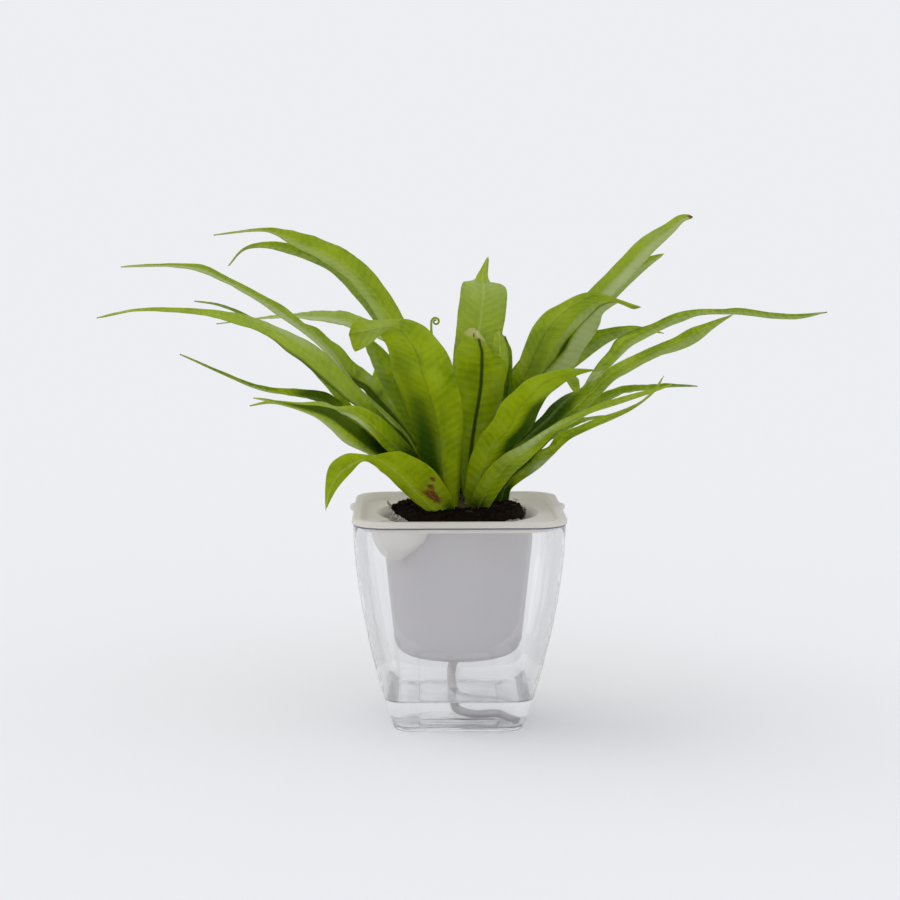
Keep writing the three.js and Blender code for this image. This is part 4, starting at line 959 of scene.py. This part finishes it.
    "shades": [(0.6, 0.25, -0.3, 0.9, -0.7), (0.45, 0.07, 0, 0.13, 2.4)], "edges": [
    (13, 5, 140.5, 7, 9, 139.5), (30.5, 22, 172.5, 23, 26, 173.5), (47, 34, 195, 37.5, 38, 199),
    (61.5, 40, 208.5, 48.5, 45, 218), (75.5, 44, 218.5, 57, 50, 233.5), (82.5, 48, 229, 65, 53, 245),
    (89.5, 52, 238, 74, 57, 253.5), (93.5, 54, 245.5, 83, 59, 258.5), (95.5, 56, 252, 91.5, 60, 261.5),
    (101, 58, 256.5, 98.5, 61, 262), (106.5, 60, 259.5, 106, 61, 260.5)]},
  "frond_right_3": {"face": 50, "fold": 18, "yellow": 0.6, "light": 1, "wave": 1.6, "paintedShadeAndSheen": -1,
    "shades": [(0.55, 0.2, -0.4, 0.5, -0.9), (0.75, 0.05, 0.5, 0.4, -0.7)], "spots": [(1, 0.05, 0, 2, 1)],
    "stations": [
    (5.5, 11, 139.5, 3, 0), (22, 42, 187, 5, 30), (50, 56, 221, 5, 40), (77, 66, 248, 6, 45),
    (97, 72, 266, 7, 45), (113, 77, 282, 7, 50), (127, 81, 296, 6.5, 45), (141, 85, 306, 4.5, 40),
    (150, 88, 313, 3, 30), (158, 89, 314.5, 1.8, 10)]},
  "frond_right_4": {"face": 57, "fold": 16, "light": 0.7, "paintedShadeAndSheen": -0.9, "stations": [
    (2, 15, 139, 3, 0), (20, 50, 180, 5, 20), (48, 72, 217, 7, 30), (79, 84, 245, 8, 35),
    (101, 92, 263, 7, 35), (114, 96, 274, 6, 35), (127, 100, 283, 4, 35), (141, 103, 290, 0.7, 30)]},
  "frond_right_5": {"fold": 16, "edges": [
    (14, 8, 139, 10, 12, 138.5), (29, 30, 179, 23, 36, 176), (58, 50, 205.5, 46, 56, 204),
    (78.5, 64, 217, 69, 70, 226.5), (94, 71, 228, 86, 77, 238.5), (108, 77, 235.5, 104.5, 82, 242.5),
    (124, 83, 239.5, 122, 87, 243), (140, 90, 237, 140, 90, 237.5)]},
  "frond_right_6": {"fold": 14, "light": 0.45, "paintedShadeAndSheen": -0.7, "paintedDeepShade": 1.6, "wave": 0.5,
    "shades": [(0.18, 0.1, -0.2, 1.5, 2.2), (0.38, 0.05, 0.3, 1, -0.9), (0.57, 0.12, -1, 0.25, 1)], "edges": [
    (15.5, -4, 139.5, 12, 0, 139), (33.5, -3, 162.5, 26.5, 3, 166.5), (51, -2, 178, 41.5, 6, 182),
    (61, -1, 186.5, 51, 8, 190), (71, 0, 196.5, 58.5, 9, 198.5), (79.5, 1, 204, 68, 10, 205),
    (84.5, 2, 211, 77.5, 11, 209), (90, 3, 218.5, 82, 11, 216), (94.5, 4, 222.5, 87.5, 12, 223.5),
    (101.5, 5, 229, 94.5, 12, 231.5), (108.5, 6, 235, 99, 13, 239), (117, 7, 239.5, 109, 13, 244),
    (127, 8, 245, 123, 14, 249), (139, 9, 249.5, 136.5, 14, 255), (152, 10, 254, 151, 14.5, 257.5),
    (166, 11, 254.5, 166.5, 15, 257.5), (178.5, 11.5, 254, 178.5, 15.5, 258),
    (209, 11, 251.5, 209, 17, 254.5), (233, 15.5, 254.5, 233, 16.5, 255.5)]},
  "frond_right_7": {"fold": 12, "yellow": 0.6, "light": 0.6, "paintedShadeAndSheen": -0.7, "wave": 0.6,
    "shades": [(0.3, 0.1, -0.5, 0.5, 0.5)], "edges": [
    (20, 0, 137, 17, 5, 137), (43, 8, 161, 38.5, 13, 164), (62.5, 14, 181, 56, 21, 184.5),
    (78, 18, 191.5, 69.5, 26, 193.5), (89, 21, 202, 80.5, 29, 203.5), (98.5, 24, 211, 90.5, 32, 213),
    (109, 26, 217, 98, 34, 220), (120, 28, 223, 110, 35, 226), (130.5, 30, 227.5, 124, 37, 232),
    (143.5, 32, 231, 139.5, 38, 238.5), (154.5, 34, 236, 150, 39, 244), (164.5, 37, 243.5, 161, 40, 247.5),
    (172.5, 39, 249, 171, 41, 250.5), (178, 41, 252, 178, 41, 252.5)]},
  "frond_right_8": {"face": 28, "fold": 20, "yellow": 0.4, "light": 0.5, "paintedDeepShade": 1.6,
    "shades": [(0.1, 0.14, 0, 2, 1.6)], "stations": [
    (18, 9, 137, 3, 0), (37, 26, 155, 9, 10), (64, 42, 177, 7, 15), (91, 54, 193, 6, 15),
    (111, 62, 200.5, 5, 15), (128, 68, 202, 4.2, 15), (143, 72, 203, 3, 10), (161, 76, 203, 0.7, 10)]},
  "frond_right_9": {"fold": 16, "yellow": 0.6, "light": 0.6, "paintedDeepShade": 1.2,
    "shades": [(0.3, 0.1, -0.9, 0.4, 2.4), (0.02, 0.16, 0, 2, 1.5), (0.3, 0.06, 0.8, 0.7, -0.9)], "edges": [
    (31, -13, 140, 20.5, -9, 139), (32.5, -15, 147, 23.5, -12, 147), (37.5, -17, 152, 29, -14, 154.5),
    (44.5, -19, 157, 36, -17, 161), (51, -21, 162.5, 41, -18, 166), (58, -22, 169.5, 46, -19, 171.5),
    (63.5, -23, 175.5, 54.5, -20, 174.5), (70.5, -24, 181, 60.5, -21, 182.5),
    (81.5, -25, 186.5, 72.5, -22, 187.5), (93, -26, 191.5, 85, -24, 193), (103, -27, 196.5, 98.5, -25, 197.5),
    (112, -27, 202.5, 110.5, -26, 203), (120, -27, 209.5, 118, -27, 210),
    (125, -27, 218.5, 124.5, -27, 219)]},
  "frond_back_1": {"face": 92, "fold": 14, "stations": [
    (0, 20, 137, 3, 0), (-3, 42, 170, 7, 0), (-3, 68, 198, 11, 0), (-2, 98, 212, 13, 0),
    (-3, 132, 210, 11, 0), (-6, 163, 194, 7, 0), (-8, 188, 170, 0.7, 0)]},
  "frond_back_2": {"face": 66, "fold": 14, "stations": [
    (8, 18.5, 137, 3, 0), (16, 43, 160, 6, 0), (34, 70, 184, 9, 0), (53, 104, 202, 11, 0),
    (70, 138, 208, 9, 0), (84, 170, 199, 6, 0), (93, 194, 183, 0.7, 0)]},
  "frond_back_3": {"face": 114, "fold": 14, "stations": [
    (-8, 18, 137, 3, 0), (-15, 42, 166, 7, 0), (-23, 72, 194, 11, 0), (-32, 106, 210, 11, 0),
    (-42, 140, 212, 9, 0), (-51, 170, 201, 6, 0), (-57, 194, 184, 0.7, 0)]},
  "frond_back_4": {"face": 46, "fold": 16, "stations": [
    (14, 15, 137, 3, 0), (33, 38, 153, 6, 0), (56, 61, 167, 9, 0), (82, 86, 177, 7, 0),
    (105, 110, 180, 0.7, 0)]},
  "frond_back_5": {"face": 134, "fold": 16, "stations": [
    (-15, 13, 137, 3, 0), (-32, 34, 152, 7, 0), (-54, 58, 168, 9, 0), (-76, 82, 178, 7, 0),
    (-92, 100, 181, 0.7, 0)]},
  "frond_back_6": {"face": 92, "fold": 4, "yellow": 0.55, "light": 1.25, "rib": -1.2, "paintedShadeAndSheen": 0, "paintedDeepShade": 0.6,
    "shades": [(0.55, 0.15, 0, 2, -0.5)], "stations": [
    (-1.5, 11.5, 139.5, 3.5, 0), (5, 25, 182, 9, 0), (11, 38, 215, 14, 0), (15, 48, 243, 15, 0),
    (17.5, 56, 259, 15.5, 0), (18.5, 66, 268.5, 14.5, 0), (18.5, 76, 271.5, 10, 0), (18, 84, 272, 5.5, 0),
    (18.5, 90, 275.5, 3.7, 0), (20.5, 95, 281.5, 2.1, 0), (22.5, 98, 288, 0.7, 0)]},
  "young_frond_1": {"fold": 18, "yellow": 1.8, "light": 1.9, "rib": -0.3, "paintedShadeAndSheen": 0, "paintedDeepShade": 0.2,
    "shades": [(0.8, 0.4, 1, 0.25, 1.2)], "spots": [(0.93, 0.02, -0.4, 0.3, 1), (0.7, 0.1, 0.1, 0.2, 0.4)],
    "edges": [
    (7, 0, 140.5, 2.5, -1, 140.5), (18.5, 6, 175.5, 12.5, 6, 175.5), (26.5, 12.5, 200, 19, 11.5, 200),
    (32, 14, 218.5, 22, 13, 217.5), (33, 17.5, 231, 20.5, 17, 230), (31, 19, 238, 22.5, 18.5, 237.5),
    (28.5, 22, 242, 24, 21, 242), (26.5, 22, 244.5, 25.5, 22, 244.5)]},
  "young_frond_2": {"fold": 22, "yellow": 0.2, "light": 0.2, "paintedShadeAndSheen": 0.6, "rib": 0.5, "edges": [
    (11, 2, 140, 7.5, 1, 140.5), (24, 2, 175.5, 18.5, 2, 175.5), (33, 8, 200, 27.5, 8, 200),
    (35, 19, 215.5, 29.5, 18.5, 214), (35, 23.5, 230, 29.5, 23, 230), (32.5, 25, 236, 29.5, 24.5, 236),
    (30.5, 24, 240, 30, 24, 240)]},
}


# Leaf colours read two attributes: bladePlace (painted shade, or painted sheen below 0; mm along; mm across)
# and bladeTone (yellow, brown, light, dark rib), whose light also holds painted shade towards the crown and a
# painted highlight along the edges.
def leafFinish(name, darkGreen, yellowGreen, rough, ribLight):
    material, wire = newMaterial(name)
    place = wire.attribute("bladePlace", 1)
    tint = wire.attribute("bladeTone", 0)
    ribDark = wire.attribute("bladeTone", 3)
    yellow, brown, light = [wire.node("SeparateColor", {0: tint}, channel) for channel in range(3)]
    paintedShadeAndSheen, along, across = place.part(0), place.part(1), abs(place.part(2))
    solid = wire.place()
    cloud = solid.noise(60, 3.0, 0.55)
    fleck = solid.noise(900, 2.0, 0.5)
    wander = cloud * 5.0
    vein = ((along - across * 0.6 + wander) * (math.tau / 1.7)).sine()
    band = ((along - across * 0.6 + wander * 1.5) * (math.tau / 5.2)).sine()
    stretched = wire.node("CombineXYZ", {0: along * 0.07, 1: place.part(2) * 0.3, 2: cloud})
    paintedStreaks = stretched.noise(1.0, 3.0, 0.5)
    rib = 1 - across.step(0.3, 0.85)
    ribEdge = 1 - across.step(0.8, 1.9)
    # painted deep shade, where the light tone is lowest
    paintedDeepShade = (0.3 - light).step(0.0, 1.0)
    burn = (brown + (fleck - 0.5) * 0.9 + (cloud - 0.5) * 0.7).step(0.3, 0.75)
    burnt = wire.tinted(rgb(0.045, 0.018, 0.006), rgb(0.20, 0.095, 0.02), fleck.step(0.3, 0.7))
    colour = darkGreen
    for tone, share in (
        (yellowGreen, (yellow * 0.8 + (cloud - 0.5) * 1.4 + band * 0.07 + 0.1).step(0.0, 1.0)),
        # paler by the light tone, which holds painted light and painted shade
        (rgb(0.46, 0.58, 0.09), light.step(0.3, 1.0) * 0.55 + vein.step(0.2, 1.0) * 0.03),
        # painted light and shade in streaks along the frond
        (rgb(0.44, 0.56, 0.12), paintedStreaks.step(0.5, 0.8) * 0.35),
        (rgb(0.035, 0.085, 0.002), (0.5 - paintedStreaks).step(0.0, 0.3) * 0.3),
        # painted sheen, a pale haze, where the painted shade value is below 0
        (rgb(0.42, 0.50, 0.20), (0 - paintedShadeAndSheen).step(0.0, 1.2) * (0.75 + band * 0.1 + paintedStreaks * 0.3)),
        # painted shade towards the crown and on the half that faces down
        (rgb(0.022, 0.058, 0.001), paintedDeepShade * 0.8 + paintedShadeAndSheen.step(0.0, 1.3) * 0.9),
        (ribLight, (ribEdge * 0.4 + rib * 0.6) * (0.5 - ribDark).step(0.0, 1.5) * 0.8),
        (rgb(0.020, 0.040, 0.003), rib * ribDark.step(0.0, 1.0) * 0.95),
        (rgb(0.62, 0.56, 0.24), (light - 1).step(0.0, 1.0) * (0.55 + cloud * 0.6)),
        (burnt, burn),
    ):
        colour = wire.tinted(colour, tone, share)
    bump = (vein * 0.12 + band * 0.4 + fleck * 0.3 + cloud * 4.0 + rib * 0.6).bumped(0.5, 0.0004)
    body = wire.coated(
        colour, rough + cloud * 0.12 + burn * 0.3, IOR=1.42, Normal=bump, Specular_IOR_Level=0.06,
        Coat_Weight=(cloud.step(0.5, 0.8) - paintedShadeAndSheen * 0.8) * 0.45, Coat_Roughness=0.35, Coat_IOR=1.4)
    glow = wire.node("BsdfTranslucent", {"Color": rgb(0.62, 0.74, 0.01), "Normal": bump})
    thin = 0.40 * (1 - rib * 0.6) * (1 - burn) * (1 - paintedDeepShade * 0.8) * (1 - abs(paintedShadeAndSheen) * 0.5)
    return finished(material, body.mixedWith(glow, thin))


blade = {
    "rows": 104,
    "columns": 20,
    "thickness": 1.25,  # at the midrib
    "edgeShare": 0.3,  # and so much of it at the edges
    "ribWidth": 0.75,
    "intoCrown": 6,
    "thinnestHalf": 0.3,
    "tip": 0.025,  # the share of the length that narrows to the tip
}


def heading(route, u, step=0.004):
    return smoothRoute(route, u + step) - smoothRoute(route, u - step)


def bladeFrames(shape):  # for each row: its middle, the way ahead, the way across and its half width
    frames, rows = [], blade["rows"]
    if "edges" in shape:
        left = [pair[:3] for pair in shape["edges"]]
        right = [pair[3:] for pair in shape["edges"]]
        for i in range(rows + 1):
            u = i / rows
            one, other = smoothRoute(left, u), smoothRoute(right, u)
            ahead = (heading(left, u) + heading(right, u)).normalized()
            across = one - other
            frames.append(((one + other) / 2, ahead, across.normalized(), across.length / 2))
        return frames
    stations = shape["stations"]
    path = [Vector(station[:3]) for station in stations]
    widths = [(station[3], station[4], 0) for station in stations]
    path.insert(0, path[0] + (path[0] - path[1]).normalized() * blade["intoCrown"])
    widths.insert(0, (widths[0][0] + 0.8, widths[0][1], 0))
    widths[1] = (widths[1][0] + 1.2, widths[1][1], 0)
    face = math.radians(shape["face"])
    side = Vector((-math.sin(face), math.cos(face), 0))
    for i in range(rows + 1):
        u = i / rows
        ahead = heading(path, u).normalized()
        side = (side - ahead * side.dot(ahead)).normalized()
        half, roll, flat = smoothRoute(widths, u)
        across = Matrix.Rotation(math.radians(roll), 3, ahead) @ side
        frames.append((smoothRoute(path, u), ahead, across, max(half, blade["thinnestHalf"])))
    return frames


def storeLooks(mesh, places, tones):
    mesh.attributes.new("bladePlace", "FLOAT_VECTOR", "POINT")
    mesh.attributes.new("bladeTone", "FLOAT_COLOR", "POINT")
    for i, (place, tone) in enumerate(zip(places, tones)):
        mesh.attributes["bladePlace"].data[i].vector = place
        mesh.attributes["bladeTone"].data[i].color = tone


def patches(rows, u, s):  # how strong a frond's shades or spots are at a place on it
    return sum(strength * math.exp(-((u - at) / spread) ** 2 - ((s - aside) / wide) ** 2)
               for at, spread, aside, wide, strength in rows)


def addFrond(name, shape, finishes):
    looks = {**plainLooks, **shape}
    seed = sum(ord(letter) * (i + 3) for i, letter in enumerate(name)) % 97  # so that no two ruffle alike
    frames, rows = bladeFrames(shape), blade["rows"]
    fold = math.radians(shape["fold"])
    deselect()
    bpy.ops.mesh.primitive_grid_add(x_subdivisions=blade["columns"], y_subdivisions=rows, size=2)
    piece = named(name)
    mesh = piece.data
    runs = [0]
    for i in range(rows):
        runs.append(runs[-1] + (frames[i + 1][0] - frames[i][0]).length)
    weights = piece.vertex_groups.new(name="rib")
    places, tones = [], []
    for vertex in mesh.vertices:
        u = (vertex.co.y + 1) / 2
        row = min(round(u * rows), rows)
        x = -vertex.co.x
        s = math.copysign(abs(x) ** 1.25, x)
        centre, ahead, across, half = frames[row]
        up = ahead.cross(across)
        half *= 1 + 0.035 * noise.noise((runs[row] / 13, math.copysign(4, s), seed))
        half *= min(1, ((1 - u) / blade["tip"]) ** 0.6) if u > 1 - blade["tip"] else 1
        crease = looks["crease"][0] + looks["crease"][1] * u * u
        off = (s - crease) / (1 - math.copysign(crease, crease * (s - crease)))
        lift = half * math.sin(fold) * (math.sqrt(off * off + 0.003) - 0.055)
        lift += 0.05 * half * math.sin(abs(s) * math.pi)
        ruffle = noise.noise((runs[row] / 11, math.copysign(9, s), seed * 1.7))
        ruffle += 0.5 * noise.noise((runs[row] / 4.7, math.copysign(5, s), seed * 0.7))
        lift += looks["wave"] * ruffle * s * s * min(1, half / 5) * min(1, u * 5)
        lift += 0.35 * noise.noise((runs[row] / 16, s * half / 6, seed)) * min(1, u * 5) * min(1, half / 5)
        vertex.co = (centre + across * (half * math.cos(fold) * s) + up * lift) * unit
        rib = math.exp(-(abs(s) * half / blade["ribWidth"]) ** 2) * (1 - 0.6 * u)
        weights.add([vertex.index], blade["edgeShare"] + (1 - blade["edgeShare"]) * rib, "REPLACE")
        brown = (0.75 if u > 0.992 else 0) + patches(looks["spots"], u, s)
        paintedShadeAndSheen = looks["paintedShadeAndSheen"] * min(1, max(0, -off * across.z * 5))  # painted shade on the half that faces down, painted sheen where below 0
        # painted shade patches, painted sheen where below 0
        paintedShadeAndSheen += patches(looks["shades"], u, s)
        places.append((paintedShadeAndSheen, runs[row], off * half / looks["wide"]))
        pale = min(1, max(0, (u - looks["pale"]) * 12))
        # painted shade, darker towards the crown
        depth = max(0, 1 - (vertex.co / unit - Vector((0, -6, 128))).length / 105) * looks["paintedDeepShade"]
        # a painted highlight on the outermost edge
        light = looks["light"] - 2 * depth + (0.3 if abs(x) > 0.96 else 0)
        tones.append((looks["yellow"], min(brown, 1), min(light, 1) * (1 - pale) + 2 * pale, looks["rib"]))
    storeLooks(mesh, places, tones)
    for finish in finishes:
        mesh.materials.append(finish)
    thicken(piece, blade["thickness"], offset=0, vertex_group="rib", material_offset=1)
    piece.vertex_groups.clear()
    pick(piece)
    bpy.ops.object.shade_smooth()
    settle(piece, name, "young_leaf" if name.startswith("young") else "leaf", *finishes)
    return len(mesh.polygons)


crozierShape = {
    "stalk": [(-3, -1, 143.4), (-8, 6, 180), (-13, 12, 212), (-16, 16, 236), (-16.4, 16, 246)],
    "coil": (-13.6, 16, 249.4),
    "radius": 2.7,
    "turns": 1.35,
    "coilSteps": 14,
    "steps": 150,
    "sides": 14,
}


def addCrozier(finish):
    route = list(crozierShape["stalk"])
    x, y, z = crozierShape["coil"]
    for i in range(crozierShape["coilSteps"] + 1):
        share = i / crozierShape["coilSteps"]
        angle = math.pi - share * crozierShape["turns"] * math.tau
        reach = crozierShape["radius"] * (1 - share) + 0.75 * share
        route.append((x + reach * math.cos(angle), y + share * 1.6, z + reach * math.sin(angle)))
    steps, sides = crozierShape["steps"], crozierShape["sides"]
    line = [smoothRoute(route, i / steps) for i in range(steps + 1)]
    thicker = 14  # towards its root
    piece = tubeAlong(
        "crozier", line, lambda share, angle: 0.8 - 0.3 * share + thicker * max(0, 0.2 - share), sides)
    shares = [i // sides / steps for i in range(len(piece.data.vertices))]
    storeLooks(piece.data, [(0, share * 110, 3) for share in shares],
               [(0.9, 0.5 * max(0, share - 0.93), 0.7, 0) for share in shares])
    outward(piece, 0.000001)
    smooth(piece, 60)
    settle(piece, "crozier", "young_leaf", finish)
    print("crozier")


# A sky that is the same all round, and a soft sun from behind on the left.
studio = {
    "sky": (0.86, 0.865, 0.885),
    "sun": 0.62,
    "sunColour": (1.0, 0.985, 0.96),
    "elevation": 45,
    "from": 158,
    "softness": 50,
    "floor": (0.85, 0.855, 0.875),
}


def addStudio():
    elevation, turn = math.radians(studio["elevation"]), math.radians(studio["from"])
    deselect()
    bpy.ops.mesh.primitive_plane_add(size=60, location=(0, 0, -0.0003))
    floor = named("floor")
    material, wire = newMaterial("pale floor")
    diffuse = wire.node("BsdfDiffuse", {"Color": rgb(*studio["floor"])})
    floor.data.materials.append(finished(material, diffuse))
    lamp = bpy.data.lights.new("sun", "SUN")
    lamp.energy = studio["sun"]
    lamp.color = studio["sunColour"]
    lamp.angle = math.radians(studio["softness"])
    sun = bpy.data.objects.new("sun", lamp)
    towards = around(turn, math.cos(elevation), math.sin(elevation))
    sun.rotation_euler = towards.to_track_quat("Z", "Y").to_euler()
    scene.collection.objects.link(sun)
    world = bpy.data.worlds.new("studio")
    world.use_nodes = True
    world.node_tree.nodes.clear()
    wire = Wire(world.node_tree)
    horizon = [floor * (sky + studio["sun"] * warm * math.sin(elevation) / math.pi)
               for floor, sky, warm in zip(studio["floor"], studio["sky"], studio["sunColour"])]
    colour = wire.tinted(rgb(*studio["sky"]), rgb(*horizon), wire.rays("camera"))  # it meets the floor unseen
    wire.node("Background", {"Color": colour, "Strength": 1.0}).feed("OutputWorld")
    scene.world = world
    print("studio, horizon", [round(value, 3) for value in horizon])


def addFronds():
    upper = leafFinish(
        "leaf above", rgb(0.06, 0.15, 0.001), rgb(0.36, 0.46, 0.003), 0.36, rgb(0.50, 0.58, 0.14))
    under = leafFinish(
        "leaf below", rgb(0.07, 0.16, 0.001), rgb(0.38, 0.47, 0.003), 0.5, rgb(0.42, 0.50, 0.12))
    faces = sum(addFrond(name, shape, (upper, under)) for name, shape in fronds.items())
    print("fronds", faces, "faces")
    addCrozier(upper)


addCamera()
addWick()
addVessel()
addWater()
addInnerPot()
addRootBall()
addFilm()
addCrown()
addFronds()
addStudio()

deselect()
